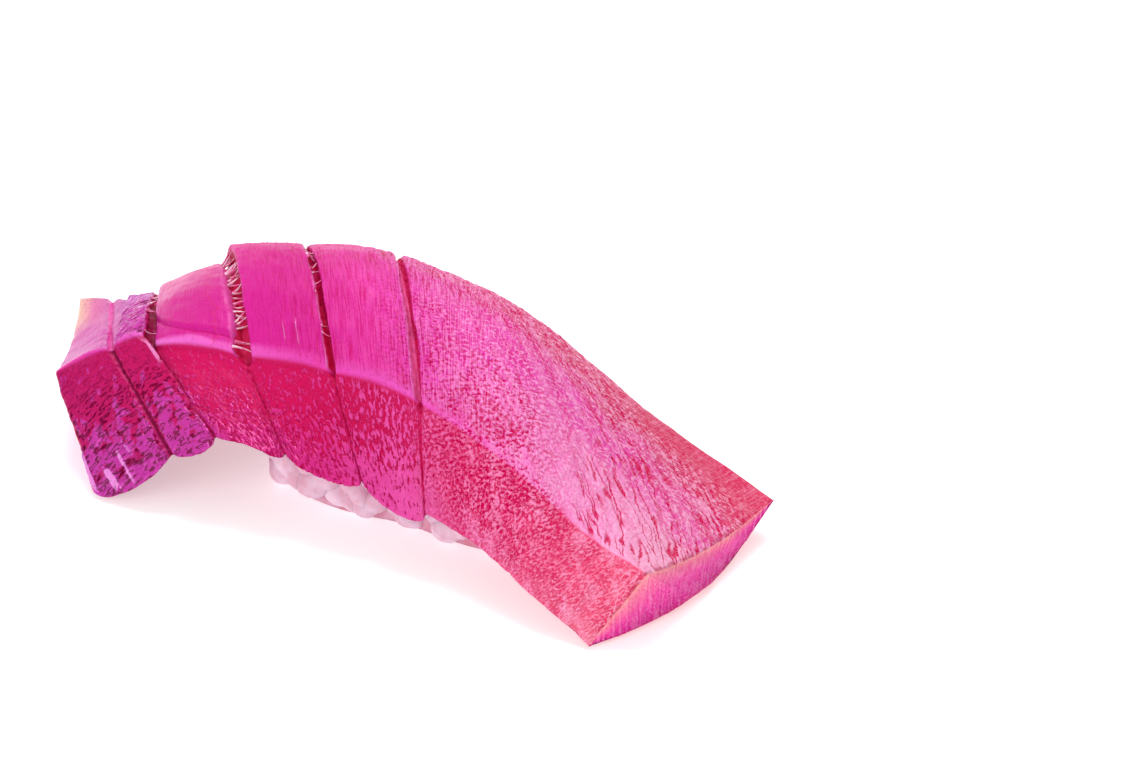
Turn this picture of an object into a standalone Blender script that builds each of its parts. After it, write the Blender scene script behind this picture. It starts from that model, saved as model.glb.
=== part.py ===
"""Chutoro nigiri: a scored slice of medium-fatty tuna, draped over a small pressed ball of rice.

The sizes below are in millimetres and the finished model is in metres, +Z up. X runs along the slice,
from its rolled tail at -X to its near end at +X, and -Y is the side with the broad slanted cut.
The origin is on the surface that the rice rests on, below the middle of the whole piece.
"""

import math
import random
from collections import namedtuple

import bmesh
import bpy
import numpy as np
from mathutils import Euler, Matrix, Vector
from mathutils.bvhtree import BVHTree

MM = 0.001

# The slice's four long edges, each a smooth curve through eight places from the tail to the near end.
# The foot and the ridge bound the slanted near side, the far edge and the heel the undercut far side.
FOOT = ((-33, -24, 0.6), (-18.5, -18.2, 10.4), (-9, -16.5, 9.8), (1.2, -16, 9),
        (10, -16.5, 7.6), (19, -18, 6.3), (27, -20, 3.6), (34.2, -20.8, 0.4))
RIDGE = ((-44, -16.5, 10.5), (-33.5, -10.5, 15), (-20, -8.5, 15.8), (-7.5, -8.5, 17.4),
         (5, -9.5, 17.7), (18, -11.5, 14.9), (29.5, -13.5, 10.3), (38.5, -15, 8.7))
FAR_EDGE = ((-57, 5.5, 6.4), (-47.5, 10, 7.6), (-38.5, 13, 13.8), (-27, 14, 18.2),
            (-13.5, 14.5, 20), (4, 15, 18), (22.5, 15, 8.8), (41.5, 11.8, 4.2))
HEEL = ((-50, -0.5, 0.8), (-41, 4, 2.2), (-30, 7, 7.6), (-19, 8, 10.6),
        (-8, 8.5, 11.6), (6, 8.5, 9.8), (22, 8.5, 3), (40.8, 3, 0.4))

# How far the top stands above the straight line from ridge to far edge, and the underside above its own.
CROWN = (-1.9, 1.6, 4.6, 5.4, 6.6, 5.8, 3.2, -1.6)
HOLLOW = (0.4, 1.6, 3.2, 4, 4, 3, 1, 0)

# The scores across the slice: where each lies among the eight places, its width, its depth on the top and
# down the near side, and how much the flesh beyond it stands above the flesh before it, at the ridge and
# at the far edge.
Score = namedtuple("Score", "place width depth side_depth ridge_rise far_rise")
SCORES = (Score(0.6, 0.9, 0.7, 0.5, 0, 0.8), Score(1, 1.5, 1.2, 0.4, -1.6, 0.8),
          Score(1.94, 2.2, 2.4, 0.2, 0, 3.2), Score(2.97, 1.1, 1.5, 0.2, 0, -0.4),
          Score(4, 1.3, 1, 0.12, 0, 0))
PLACE_LENGTH = 12.5
RISE_REACH = 0.75
SEGMENT_SWELL = 0.7
FOOT_SWELL = 2.3
END_BULGE = 2.4
LOWEST = 0.3

# How finely the slice's faces are divided, on the near side more finely towards the ridge.
BEVEL_STEPS = 5
RIDGE_CROWDING = 1.7
TOP_STEPS = 12
SEGMENT_STEP = 0.15
END_ROWS = 2

# The rice: a rounded block, shorter than the slice, that reaches up to the slice's underside.
RICE_MIDDLE = (0.4, -0.5)
RICE_HALF_LENGTH = 19.8
RICE_HALF_WIDTH = 10.6
RICE_HEIGHT = 14.5
RICE_SQUARENESS = 3.4
RICE_UNEVENNESS = 0.07
RICE_LUMPS = 3
RICE_LUMP_TURN = math.radians(-130)
RICE_SIDE_ROUND = 3.2
CLEARANCE = 0.35
ROOM_STEP = 1
FOOT_TUCK = 0.05
OUTLINE_POINTS = 721
CORE_SIDES = 44
CORE_RINGS = (0.3, 0.55, 0.75, 0.88)
CORE_BANDS = 4

# One grain of rice, and how the grains are set round the core.
GRAIN_LENGTH = 7
GRAIN_WIDTH = 3.4
GRAIN_SIDES = 6
GRAIN_RINGS = 4
GRAIN_ROWS = 4
GRAIN_SPACING = 4.1
GRAIN_FULLNESS = 0.28
GRAIN_FLATNESS = 0.9
GRAIN_SHIFT = 0.2
GRAIN_SIZES = (0.86, 1.08)
GRAIN_TILT = 0.35
GRAIN_SINKING = (-0.12, 0.36)
GRAIN_LIFT = 0.05
GRAIN_SEED = 7

FLESH = (0.71, 0.10, 0.27, 1)
RICE_WHITE = (0.82, 0.66, 0.68, 1)


def smooth_curve(values, places):
    """Catmull-Rom curve through evenly numbered values, read at the numbers in places."""
    values = np.asarray(values, float)
    if values.ndim == 1:
        return smooth_curve(values[:, None], places)[:, 0]
    held = np.vstack([2 * values[0] - values[1], values, 2 * values[-1] - values[-2]])
    places = np.asarray(places, float)
    first = np.clip(np.floor(places).astype(int), 0, len(values) - 2)
    t = (places - first)[:, None]
    a, b, c, d = (held[first + k] for k in range(4))
    return b + 0.5 * t * (c - a + t * (2 * a - 5 * b + 4 * c - d + t * (3 * (b - c) + d - a)))


def between(start, end, fraction):
    """Points on the straight lines from start to end: one row for each place, one column a fraction."""
    fraction = np.asarray(fraction, float)[None, :, None]
    return start[:, None] * (1 - fraction) + end[:, None] * fraction


def arch(fraction):
    """A parabola that is 0 at both ends of a span and 1 in its middle."""
    return 4 * fraction * (1 - fraction)


def segment_swell(places):
    """The swelling of the flesh between two scores: 0 at a score, 1 half-way, none past the last one."""
    marks = [0] + [score.place for score in SCORES]
    swell = np.zeros(len(places))
    for start, end in zip(marks, marks[1:]):
        inside = (places > start) & (places < end)
        swell[inside] = arch((places[inside] - start) / (end - start))
    return swell


def rise_at(places, across):
    """How much a segment stands up or lies low beside each score, fading over the segment's length."""
    total = np.zeros((len(places), len(across)))
    for score in SCORES:
        away = places - score.place
        fade = np.sign(away) * np.clip(1 - np.abs(away) / RISE_REACH, 0, 1)
        rise = score.ridge_rise * (1 - across) + score.far_rise * across
        total += fade[:, None] * rise[None] / 2
    return total


def score_depths(places):
    """Depth of the V-shaped scores at each place along the slice, on the top and down the near side."""
    top, side = np.zeros((2, len(places)))
    for score in SCORES:
        away = np.abs(places - score.place) * PLACE_LENGTH
        inside = np.clip(1 - 2 * away / score.width, 0, 1)
        top = np.maximum(top, score.depth * inside)
        side = np.maximum(side, score.side_depth * inside)
    return top, side


def faces_out(sheet):
    """Unit normals of a sheet of points, pointing out of the slice on its upper side."""
    along = np.gradient(sheet, axis=0)
    across = np.gradient(sheet, axis=1)
    normal = np.cross(along, across)
    return normal / np.linalg.norm(normal, axis=2, keepdims=True)


def upper_sheet(places):
    """The near side and the top, from the foot over the ridge to the far edge."""
    foot, ridge, far = (smooth_curve(line, places) for line in (FOOT, RIDGE, FAR_EDGE))
    slant = (foot - ridge) / np.linalg.norm(foot - ridge, axis=1, keepdims=True)
    foot = foot + slant * FOOT_SWELL * np.sqrt(segment_swell(places))[:, None]
    foot[:, 2] = np.maximum(foot[:, 2], LOWEST)
    up_side = 1 - np.linspace(1, 0, BEVEL_STEPS + 1) ** RIDGE_CROWDING
    over_top = np.linspace(0, 1, TOP_STEPS + 1)
    side = between(foot, ridge, up_side)
    side[..., 2] += up_side * rise_at(places, np.zeros(len(up_side)))
    top = between(ridge, far, over_top)
    swell = segment_swell(places)[:, None]
    top[..., 2] += arch(over_top) * smooth_curve(CROWN, places)[:, None] + rise_at(places, over_top)
    top[..., 2] += SEGMENT_SWELL * swell * (1 - over_top ** 4)
    sheet = np.concatenate([side[:, :-1], top], axis=1)
    top_depth, side_depth = score_depths(places)
    depth = np.zeros(sheet.shape[:2])
    depth[:, :BEVEL_STEPS] = side_depth[:, None]
    depth[:, BEVEL_STEPS:] = top_depth[:, None]
    return sheet - faces_out(sheet) * depth[..., None]


def lower_sheet(places, upper):
    """The underside and the far side, from the same foot by way of the heel to the same far edge."""
    heel = smooth_curve(HEEL, places)
    across = np.linspace(0, 1, TOP_STEPS + 1)
    up_side = np.linspace(0, 1, BEVEL_STEPS + 1)
    under = between(upper[:, 0], heel, across)
    under[..., 2] += arch(across) * smooth_curve(HOLLOW, places)[:, None]
    near_end = np.clip(places - (len(FOOT) - 2), 0, 1) ** 2
    under[..., 0] += END_BULGE * near_end[:, None] * arch(across)
    far_side = between(heel, upper[:, -1], up_side)
    sheet = np.concatenate([under[:, :-1], far_side], axis=1)
    inner = sheet[:, 1:-1]
    inner[..., 2] = np.maximum(inner[..., 2], LOWEST)
    return sheet


def slice_places():
    """Where the slice is cut into columns: at both lips and the bottom of each score, and evenly between."""
    lips = [0]
    for score in SCORES:
        half = score.width / 2 / PLACE_LENGTH
        lips += [score.place - half, score.place + half]
    lips.append(len(FOOT) - 1)
    places = [score.place for score in SCORES]
    for start, end in zip(lips[::2], lips[1::2]):
        steps = max(2, math.ceil((end - start) / SEGMENT_STEP))
        places += list(np.linspace(start, end, steps + 1))
    return np.array(sorted(places))


def slice_sheets():
    """Upper and lower sheet of the slice, which share the foot and the far edge."""
    places = slice_places()
    upper = upper_sheet(places)
    return upper, lower_sheet(places, upper)


def middle_shift(upper, lower):
    """The move that centres the slice, which reaches further than the rice on every side."""
    points = np.concatenate([upper.reshape(-1, 3), lower.reshape(-1, 3)])
    middle = (points.min(axis=0) + points.max(axis=0)) / 2
    return np.array([-middle[0], -middle[1], 0])


def add_grid(mesh, rows, flipped):
    """Joins a grid of vertices with quads, split into triangles where a row comes to one point."""
    for row, following in zip(rows, rows[1:]):
        for a, b, c, d in zip(row, row[1:], following[1:], following):
            corners = list(dict.fromkeys((a, b, c, d)))
            if len(corners) < 3:
                continue
            mesh.faces.new(corners[::-1] if flipped else corners)


def object_from(name, mesh, material):
    """Makes an object of a bmesh, with its faces pointing out, shaded smooth up to sharp edges."""
    bmesh.ops.recalc_face_normals(mesh, faces=mesh.faces)
    data = bpy.data.meshes.new(name)
    mesh.to_mesh(data)
    mesh.free()
    data.materials.append(material)
    data.shade_smooth()
    data.set_sharp_from_angle(angle=math.radians(30))
    made = bpy.data.objects.new(name, data)
    bpy.context.scene.collection.objects.link(made)
    return made


def material_of(name, colour, roughness):
    made = bpy.data.materials.new(name)
    made.use_nodes = True
    shader = made.node_tree.nodes["Principled BSDF"]
    shader.inputs["Base Color"].default_value = colour
    shader.inputs["Roughness"].default_value = roughness
    shader.inputs["Metallic"].default_value = 0
    made.diffuse_color = colour
    return made


def tuna_slice(upper, lower, shift):
    """The slice as one closed solid: two sheets that share foot and far edge, and a face at each end."""
    mesh = bmesh.new()

    def vertices(points):
        return [mesh.verts.new((point + shift) * MM) for point in points]

    top = [vertices(column) for column in upper]
    bottom = []
    for column, above in zip(lower, top):
        bottom.append([above[0]] + vertices(column[1:-1]) + [above[-1]])
    add_grid(mesh, top, False)
    add_grid(mesh, bottom, True)
    for place, flipped in ((0, True), (-1, False)):
        rows = [top[place]]
        for row in range(1, END_ROWS):
            share = row / END_ROWS
            inner = upper[place] * (1 - share) + lower[place] * share
            rows.append([top[place][0]] + vertices(inner[1:-1]) + [top[place][-1]])
        rows.append(bottom[place])
        add_grid(mesh, rows, flipped)
    return object_from("tuna_slice", mesh, material_of("tuna flesh", FLESH, 0.32))


def rice_outline():
    """The rice's plan round its middle: a rounded oblong with shallow lumps, in evenly spaced points."""
    power = 2 / RICE_SQUARENESS
    angles = np.linspace(0, 2 * math.pi, OUTLINE_POINTS)
    turned = np.stack([np.cos(angles), np.sin(angles)], axis=1)
    oblong = np.sign(turned) * np.abs(turned) ** power * (RICE_HALF_LENGTH, RICE_HALF_WIDTH)
    facing = np.arctan2(oblong[:, 1], oblong[:, 0])
    lumps = 1 + RICE_UNEVENNESS * np.cos(RICE_LUMPS * (facing - RICE_LUMP_TURN))
    oblong *= lumps[:, None]
    walked = np.concatenate([[0], np.cumsum(np.linalg.norm(np.diff(oblong, axis=0), axis=1))])
    even = np.linspace(0, walked[-1], CORE_SIDES + 1)[:-1]
    return np.stack([np.interp(even, walked, oblong[:, axis]) for axis in (0, 1)], axis=1)


def room_below(flesh, x, y):
    """How high the rice may reach at a place: below the slice's underside there and just round it."""
    room = RICE_HEIGHT
    for step_x in (-ROOM_STEP, 0, ROOM_STEP):
        for step_y in (-ROOM_STEP, 0, ROOM_STEP):
            start = Vector((x + step_x, y + step_y, 0.01)) * MM
            hit = flesh.ray_cast(start, Vector((0, 0, 1)))[0]
            if hit is not None:
                room = min(room, hit.z / MM - CLEARANCE)
    return room


def core_rows(flesh, shift):
    """Rows of points of the bare rice: up the rounded side, then over the top to the last ring."""
    outline = rice_outline()
    middle = np.array(RICE_MIDDLE) + shift[:2]
    rows = []
    for band in range(CORE_BANDS + 1):
        climb = band / CORE_BANDS
        rounding = (1 - climb ** RICE_SIDE_ROUND) ** (1 / RICE_SIDE_ROUND)
        share = CORE_RINGS[-1] + (1 - CORE_RINGS[-1]) * rounding
        share -= FOOT_TUCK * (1 - climb) ** 3
        rows.append([Vector((x, y, climb * room_below(flesh, x, y))) for x, y in middle + outline * share])
    for share in reversed(CORE_RINGS[:-1]):
        rows.append([Vector((x, y, room_below(flesh, x, y))) for x, y in middle + outline * share])
    return rows


def rice_core(flesh, shift):
    """The bare rice: a flat-bottomed rounded block whose top follows the slice's underside."""
    mesh = bmesh.new()
    rows = core_rows(flesh, shift)
    made = [[mesh.verts.new(point * MM) for point in row] for row in rows]
    for row in made:
        row.append(row[0])
    add_grid(mesh, made, False)
    mesh.faces.new(made[0][:-1])
    x, y = RICE_MIDDLE[0] + shift[0], RICE_MIDDLE[1] + shift[1]
    peak = mesh.verts.new(Vector((x, y, room_below(flesh, x, y))) * MM)
    last = made[-1]
    for a, b in zip(last, last[1:]):
        mesh.faces.new((a, b, peak))
    return object_from("rice", mesh, material_of("boiled rice", RICE_WHITE, 0.4)), rows


def grain_shape():
    """One grain as a bmesh: a long rounded body that tapers to both ends, along X."""
    mesh = bmesh.new()
    bmesh.ops.create_uvsphere(mesh, u_segments=GRAIN_SIDES, v_segments=GRAIN_RINGS, radius=0.5)
    bmesh.ops.rotate(mesh, verts=mesh.verts, matrix=Matrix.Rotation(math.pi / 2, 3, "Y"))
    for vertex in mesh.verts:
        share = abs(vertex.co.x) * 2
        fuller = 1 + GRAIN_FULLNESS * math.sin(math.pi * share)
        vertex.co.y *= fuller
        vertex.co.z *= fuller
    size = Vector((GRAIN_LENGTH, GRAIN_WIDTH, GRAIN_WIDTH * GRAIN_FLATNESS))
    bmesh.ops.scale(mesh, verts=mesh.verts, vec=size)
    return mesh


def grain_places(rows, draw):
    """Where grains lie on the core's side: rows up the side, spaced evenly round it, a little uneven."""
    places = []
    for level in range(GRAIN_ROWS):
        height = (level + 0.5) / GRAIN_ROWS * CORE_BANDS
        low, part = int(height), height % 1
        ring = [a.lerp(b, part) for a, b in zip(rows[low], rows[min(low + 1, CORE_BANDS)])]
        round_length = sum((a - b).length for a, b in zip(ring, ring[1:] + ring[:1]))
        count = int(round_length / GRAIN_SPACING)
        for number in range(count):
            turn = (number + 0.5 * (level % 2) + draw.uniform(-GRAIN_SHIFT, GRAIN_SHIFT)) / count % 1
            spot = turn * CORE_SIDES
            index = int(spot) % CORE_SIDES
            ahead = ring[(index + 1) % CORE_SIDES]
            point = ring[index].lerp(ahead, spot % 1)
            outward = (ahead - ring[index]).cross(Vector((0, 0, 1))).normalized()
            places.append((point, outward))
    return places


def set_grain(shape, point, outward, draw):
    """A copy of the grain, laid against the side at a random tilt, lifted clear of the surface below."""
    mesh = shape.copy()
    facing = outward.to_track_quat("Z", "Y").to_matrix()
    leaning = [draw.uniform(-GRAIN_TILT, GRAIN_TILT) for _ in range(2)]
    tilt = Euler((*leaning, draw.uniform(0, math.pi)))
    turn = (facing @ tilt.to_matrix()).to_4x4() @ Matrix.Scale(draw.uniform(*GRAIN_SIZES), 4)
    place = point - outward * GRAIN_WIDTH * draw.uniform(*GRAIN_SINKING)
    mesh.transform(Matrix.Translation(place) @ turn)
    lowest = min(vertex.co.z for vertex in mesh.verts)
    lift = max(0, GRAIN_LIFT - lowest)
    mesh.transform(Matrix.Translation((0, 0, lift)))
    mesh.transform(Matrix.Scale(MM, 4))
    return mesh


def clear_of(flesh, mesh):
    """True where every corner of the grain keeps its clearance to the slice and lies below it."""
    for vertex in mesh.verts:
        if flesh.find_nearest(vertex.co)[3] < CLEARANCE * MM:
            return False
    if flesh.overlap(BVHTree.FromBMesh(mesh)):
        return False
    middle = sum((vertex.co for vertex in mesh.verts), Vector()) / len(mesh.verts)
    flesh_below = flesh.ray_cast(middle, Vector((0, 0, -1)))[0]
    return flesh_below is None


def rice(flesh, shift):
    """The ball of rice as one solid: the core, with the grains of its side fused on."""
    core, rows = rice_core(flesh, shift)
    draw = random.Random(GRAIN_SEED)
    shape = grain_shape()
    grains = bpy.data.collections.new("grains")
    bpy.context.scene.collection.children.link(grains)
    for point, outward in grain_places(rows, draw):
        mesh = set_grain(shape, point, outward, draw)
        if clear_of(flesh, mesh):
            data = bpy.data.meshes.new("grain")
            mesh.to_mesh(data)
            grains.objects.link(bpy.data.objects.new("grain", data))
        mesh.free()
    shape.free()
    fuse(core, grains)
    return core


def fuse(core, grains):
    """Joins the collection's objects to the core with one Boolean union, and removes them."""
    union = core.modifiers.new("union", "BOOLEAN")
    union.operation = "UNION"
    union.operand_type = "COLLECTION"
    union.collection = grains
    union.solver = "EXACT"
    bpy.context.view_layer.update()
    evaluated = core.evaluated_get(bpy.context.evaluated_depsgraph_get())
    fused = bpy.data.meshes.new_from_object(evaluated)
    core.modifiers.clear()
    core.data = fused
    for grain in list(grains.objects):
        bpy.data.objects.remove(grain)
    bpy.data.collections.remove(grains)


def main():
    for old in list(bpy.data.objects):
        bpy.data.objects.remove(old)
    upper, lower = slice_sheets()
    shift = middle_shift(upper, lower)
    slab = tuna_slice(upper, lower, shift)
    bpy.context.view_layer.update()
    flesh = BVHTree.FromObject(slab, bpy.context.evaluated_depsgraph_get())
    rice(flesh, shift)


main()
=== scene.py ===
# %% [markdown]
# # Chutoro nigiri
# One long slice of medium-fatty tuna, scored five times, lies over a small pressed ball of rice.
# The real piece is two things: a soft, moist slab with cut faces, and a few hundred sticky grains.
# This lesson dresses a plain solid of the same size: first the slab's surface as a mesh of points that
# follow smooth guide lines, then its fine relief and the rice with Geometry Nodes, then the materials.

# %% Load the fixed frame
import math
import random
from collections import namedtuple

import bpy
import numpy as np
from mathutils import Euler, Matrix, Vector
from mathutils.bvhtree import BVHTree


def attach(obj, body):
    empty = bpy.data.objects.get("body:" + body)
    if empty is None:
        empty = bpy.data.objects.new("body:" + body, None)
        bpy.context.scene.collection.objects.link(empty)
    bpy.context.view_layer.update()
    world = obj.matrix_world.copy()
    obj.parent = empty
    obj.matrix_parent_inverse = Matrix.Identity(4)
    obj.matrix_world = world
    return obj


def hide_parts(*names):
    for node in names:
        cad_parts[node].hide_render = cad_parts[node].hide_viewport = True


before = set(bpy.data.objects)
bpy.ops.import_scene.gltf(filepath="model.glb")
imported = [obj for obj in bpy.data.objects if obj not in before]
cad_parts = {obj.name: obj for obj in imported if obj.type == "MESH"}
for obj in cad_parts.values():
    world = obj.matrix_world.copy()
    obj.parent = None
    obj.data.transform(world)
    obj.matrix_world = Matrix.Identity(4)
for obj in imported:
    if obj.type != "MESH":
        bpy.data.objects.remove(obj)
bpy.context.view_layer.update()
scene = bpy.context.scene
MM = 0.001

# %% [markdown]
# ## Camera
# The picture was taken from the slab's near right, about a third of the way up. The camera's place is
# worked out backwards: one pixel of the picture is known to show one point of the model, so the camera
# stands that far back along its own view, and off to the side by as much as the pixel is off centre.

# %% Camera
PHOTO_WIDTH = 1138
PHOTO_HEIGHT = 759
AZIMUTH = math.radians(30)
ELEVATION = math.radians(32)
LENS = 100
DISTANCE = 0.381
AIM_PIXEL = (385, 518)
AIM_POINT = Vector((7.75, -5.63, 0)) * MM
CLIP_START = 0.01


def shown(name, data):
    """A new object of the scene that shows a mesh, light or camera."""
    made = bpy.data.objects.new(name, data)
    scene.collection.objects.link(made)
    return made


def make_camera():
    data = bpy.data.cameras.new("camera")
    data.lens = LENS
    data.clip_start = CLIP_START
    made = shown("camera", data)
    right = Vector((math.cos(AZIMUTH), math.sin(AZIMUTH), 0))
    back = Vector((math.sin(AZIMUTH) * math.cos(ELEVATION), -math.cos(AZIMUTH) * math.cos(ELEVATION),
                   math.sin(ELEVATION)))
    up = back.cross(right)
    per_pixel = DISTANCE * data.sensor_width / LENS / PHOTO_WIDTH
    aside = (AIM_PIXEL[0] - PHOTO_WIDTH / 2) * per_pixel
    above = (PHOTO_HEIGHT / 2 - AIM_PIXEL[1]) * per_pixel
    place = AIM_POINT + back * DISTANCE - right * aside - up * above
    made.matrix_world = Matrix.Translation(place) @ Matrix((right, up, back)).transposed().to_4x4()
    return made


scene.camera = make_camera()
print("camera stands at", [round(value, 3) for value in scene.camera.location])

# %% [markdown]
# ## Helpers for node trees
# A node tree written out link by link is hard to read. One small function adds a node, sets its options
# and fills its inputs, with values or with the sockets of other nodes. A small class wraps a number that
# a tree works out, so that sums of such numbers look like sums. All of it serves geometry and shaders.

# %% Node helpers


def fill(node, inputs):
    """Fills a node's inputs with plain values or with the results of other nodes."""
    for key, value in inputs.items():
        value = getattr(value, "socket", value)
        if isinstance(value, bpy.types.NodeSocket):
            node.id_data.links.new(value, node.inputs[key])
        else:
            node.inputs[key].default_value = value


def put(tree, kind, inputs=None, **options):
    """Adds a node and returns it."""
    made = tree.nodes.new(kind)
    for name, value in options.items():
        setattr(made, name, value)
    fill(made, inputs or {})
    return made


def tree_of(*values):
    """The node tree that the first of these values with one belongs to."""
    sockets = (getattr(value, "socket", value) for value in values)
    return next(socket.id_data for socket in sockets if isinstance(socket, bpy.types.NodeSocket))


def calc(operation, *values, clamp=False):
    """The result of one math node."""
    inputs = dict(enumerate(values))
    made = put(tree_of(*values), "ShaderNodeMath", inputs, operation=operation, use_clamp=clamp)
    return Number(made.outputs[0])


class Number:
    """A number that a tree works out. Sums with it are written as usual, and each adds a node."""

    def __init__(self, socket):
        self.socket = socket

    def __add__(self, other):
        return calc("ADD", self, other)

    def __sub__(self, other):
        return calc("SUBTRACT", self, other)

    def __rsub__(self, other):
        return calc("SUBTRACT", other, self)

    def __mul__(self, other):
        return calc("MULTIPLY", self, other)

    def rise(self, low, high, to_low=0.0, to_high=1.0):
        """Goes smoothly from to_low to to_high while the number goes from low to high."""
        inputs = {"Value": self, "From Min": low, "From Max": high, "To Min": to_low, "To Max": to_high}
        made = put(tree_of(self), "ShaderNodeMapRange", inputs, interpolation_type="SMOOTHSTEP")
        return Number(made.outputs[0])

    def band(self, low, high, soft):
        """1 between low and high, fading to 0 over a soft margin on each side."""
        return self.rise(low - soft, low + soft) * self.rise(high - soft, high + soft, 1.0, 0.0)


def highest(first, *others):
    for other in others:
        first = calc("MAXIMUM", first, other)
    return first


def vector_math(operation, first, second):
    made = put(tree_of(first, second), "ShaderNodeVectorMath", {0: first, 1: second}, operation=operation)
    return made.outputs[0]


def noise(vector, size, stretch=(1, 1, 1), turn=0.0, detail=2.0, rough=0.5, shift=0.0):
    """Noise whose lumps measure about the given size, longer along the axes with a larger stretch."""
    tree = tree_of(vector)
    turned = put(tree, "ShaderNodeVectorRotate", {"Vector": vector, "Angle": turn}, rotation_type="Z_AXIS")
    scaled = vector_math("MULTIPLY", turned.outputs[0], [1 / (size * each) for each in stretch])
    moved = vector_math("ADD", scaled, (shift, shift, shift))
    inputs = {"Vector": moved, "Scale": 1.0, "Detail": detail, "Roughness": rough}
    return Number(put(tree, "ShaderNodeTexNoise", inputs).outputs[0])


def mix(factor, first, second):
    made = put(tree_of(factor), "ShaderNodeMix", {0: factor, 2: first, 3: second}, data_type="FLOAT")
    return Number(made.outputs[0])


# %% Geometry Nodes helpers
INPUT_KINDS = {"Material": "NodeSocketMaterial"}


def new_tree(name, *inputs):
    """A Geometry Nodes tree with a geometry input and output and further named inputs."""
    tree = bpy.data.node_groups.new(name, "GeometryNodeTree")
    tree.interface.new_socket("Geometry", in_out="INPUT", socket_type="NodeSocketGeometry")
    tree.interface.new_socket("Geometry", in_out="OUTPUT", socket_type="NodeSocketGeometry")
    for label in inputs:
        kind = INPUT_KINDS.get(label, "NodeSocketFloat")
        tree.interface.new_socket(label, in_out="INPUT", socket_type=kind)
    return tree, tree.nodes.new("NodeGroupInput").outputs


def end_tree(tree, geometry, material):
    """Every tree ends by making its instances real and setting its material."""
    real = put(tree, "GeometryNodeRealizeInstances", {"Geometry": geometry})
    dressed = put(tree, "GeometryNodeSetMaterial", {"Geometry": real.outputs[0], "Material": material})
    put(tree, "NodeGroupOutput", {0: dressed.outputs[0]})
    return tree


def own_place(tree):
    """Where each point of the geometry is."""
    return put(tree, "GeometryNodeInputPosition").outputs[0]


def move_to(geometry, place):
    made = put(tree_of(geometry), "GeometryNodeSetPosition", {"Geometry": geometry, "Position": place})
    return made.outputs[0]


def push_out(geometry, amount, lowest):
    """Moves each point along the surface's normal by an amount, but none below the lowest height."""
    tree = tree_of(geometry)
    normal = put(tree, "GeometryNodeInputNormal").outputs[0]
    offset = put(tree, "ShaderNodeVectorMath", {0: normal, "Scale": amount}, operation="SCALE").outputs[0]
    moved = vector_math("ADD", own_place(tree), offset)
    return move_to(geometry, vector_math("MAXIMUM", moved, (-1, -1, lowest)))


def mesh_object(name, points, faces, edges=()):
    mesh = bpy.data.meshes.new(name)
    mesh.from_pydata(np.asarray(points).tolist(), edges, faces)
    return shown(name, mesh)


def store(made, name, values):
    """Gives each vertex of an object a number or, from rows of three, a vector."""
    values = np.asarray(values, float)
    kind, key = ("FLOAT_VECTOR", "vector") if values.ndim == 2 else ("FLOAT", "value")
    made.data.attributes.new(name, kind, "POINT").data.foreach_set(key, values.ravel())


def grow(base, tree, values, name):
    """Runs a tree on an object, keeps the result as a plain mesh object, and removes the base."""
    modifier = base.modifiers.new(tree.name, "NODES")
    modifier.node_group = tree
    for item in tree.interface.items_tree:
        if item.in_out == "INPUT" and item.name in values:
            modifier[item.identifier] = values[item.name]
    bpy.context.view_layer.update()
    graph = bpy.context.evaluated_depsgraph_get()
    result = base.evaluated_get(graph)
    mesh = bpy.data.meshes.new_from_object(result, preserve_all_data_layers=True, depsgraph=graph)
    mesh.name = name
    mesh.shade_smooth()
    base.modifiers.clear()
    bpy.data.objects.remove(base)
    print(name, "has", sum(len(face.vertices) - 2 for face in mesh.polygons), "triangles")
    return shown(name, mesh)


# %% [markdown]
# ## Materials: the flesh
# Fresh tuna is wet and slightly see-through, and its colour changes over the slice: pale and pinkish
# where it is fatty, crimson on the slanted cut side. Painting it by hand would need an image. Instead the
# mesh carries three numbers at each point, its place along the slice, its place round the section and
# its depth in a score, and colour ramps turn them into broad fields that noise then breaks up.

# %% Colour helpers


def tint(red, green, blue):
    """A colour given as it looks on screen, 0 to 255, turned into the linear values that shaders use."""
    shares = [value / 255 for value in (red, green, blue)]
    linear = [share / 12.92 if share <= 0.04045 else ((share + 0.055) / 1.055) ** 2.4 for share in shares]
    return (*linear, 1.0)


def colour_ramp(factor, stops):
    """A ramp through stops, each a place from 0 to 1 and the red, green and blue there."""
    made = put(tree_of(factor), "ShaderNodeValToRGB", {"Fac": factor})
    elements = made.color_ramp.elements
    while len(elements) < len(stops):
        elements.new(0.5)
    for element, (place, *colour) in zip(elements, stops):
        element.position = place
    for element, (place, *colour) in zip(elements, stops):
        element.color = tint(*colour)
    return made.outputs[0]


def blend(factor, first, second):
    """The colour between two, at a factor from 0 to 1."""
    made = put(tree_of(factor, first, second), "ShaderNodeMix", {0: factor, 6: first, 7: second},
               data_type="RGBA")
    return made.outputs[2]


def new_material(name):
    """A material and its shader node."""
    made = bpy.data.materials.new(name)
    made.use_nodes = True
    return made, made.node_tree.nodes["Principled BSDF"]


# %% Speckles shared by flesh and rice
SPECKLE_INPUTS = {"Vector": "NodeSocketVector", "Colour": "NodeSocketColor", "Dark": "NodeSocketColor",
                  "Pale": "NodeSocketColor", "Size": "NodeSocketFloat", "Strength": "NodeSocketFloat"}


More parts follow.
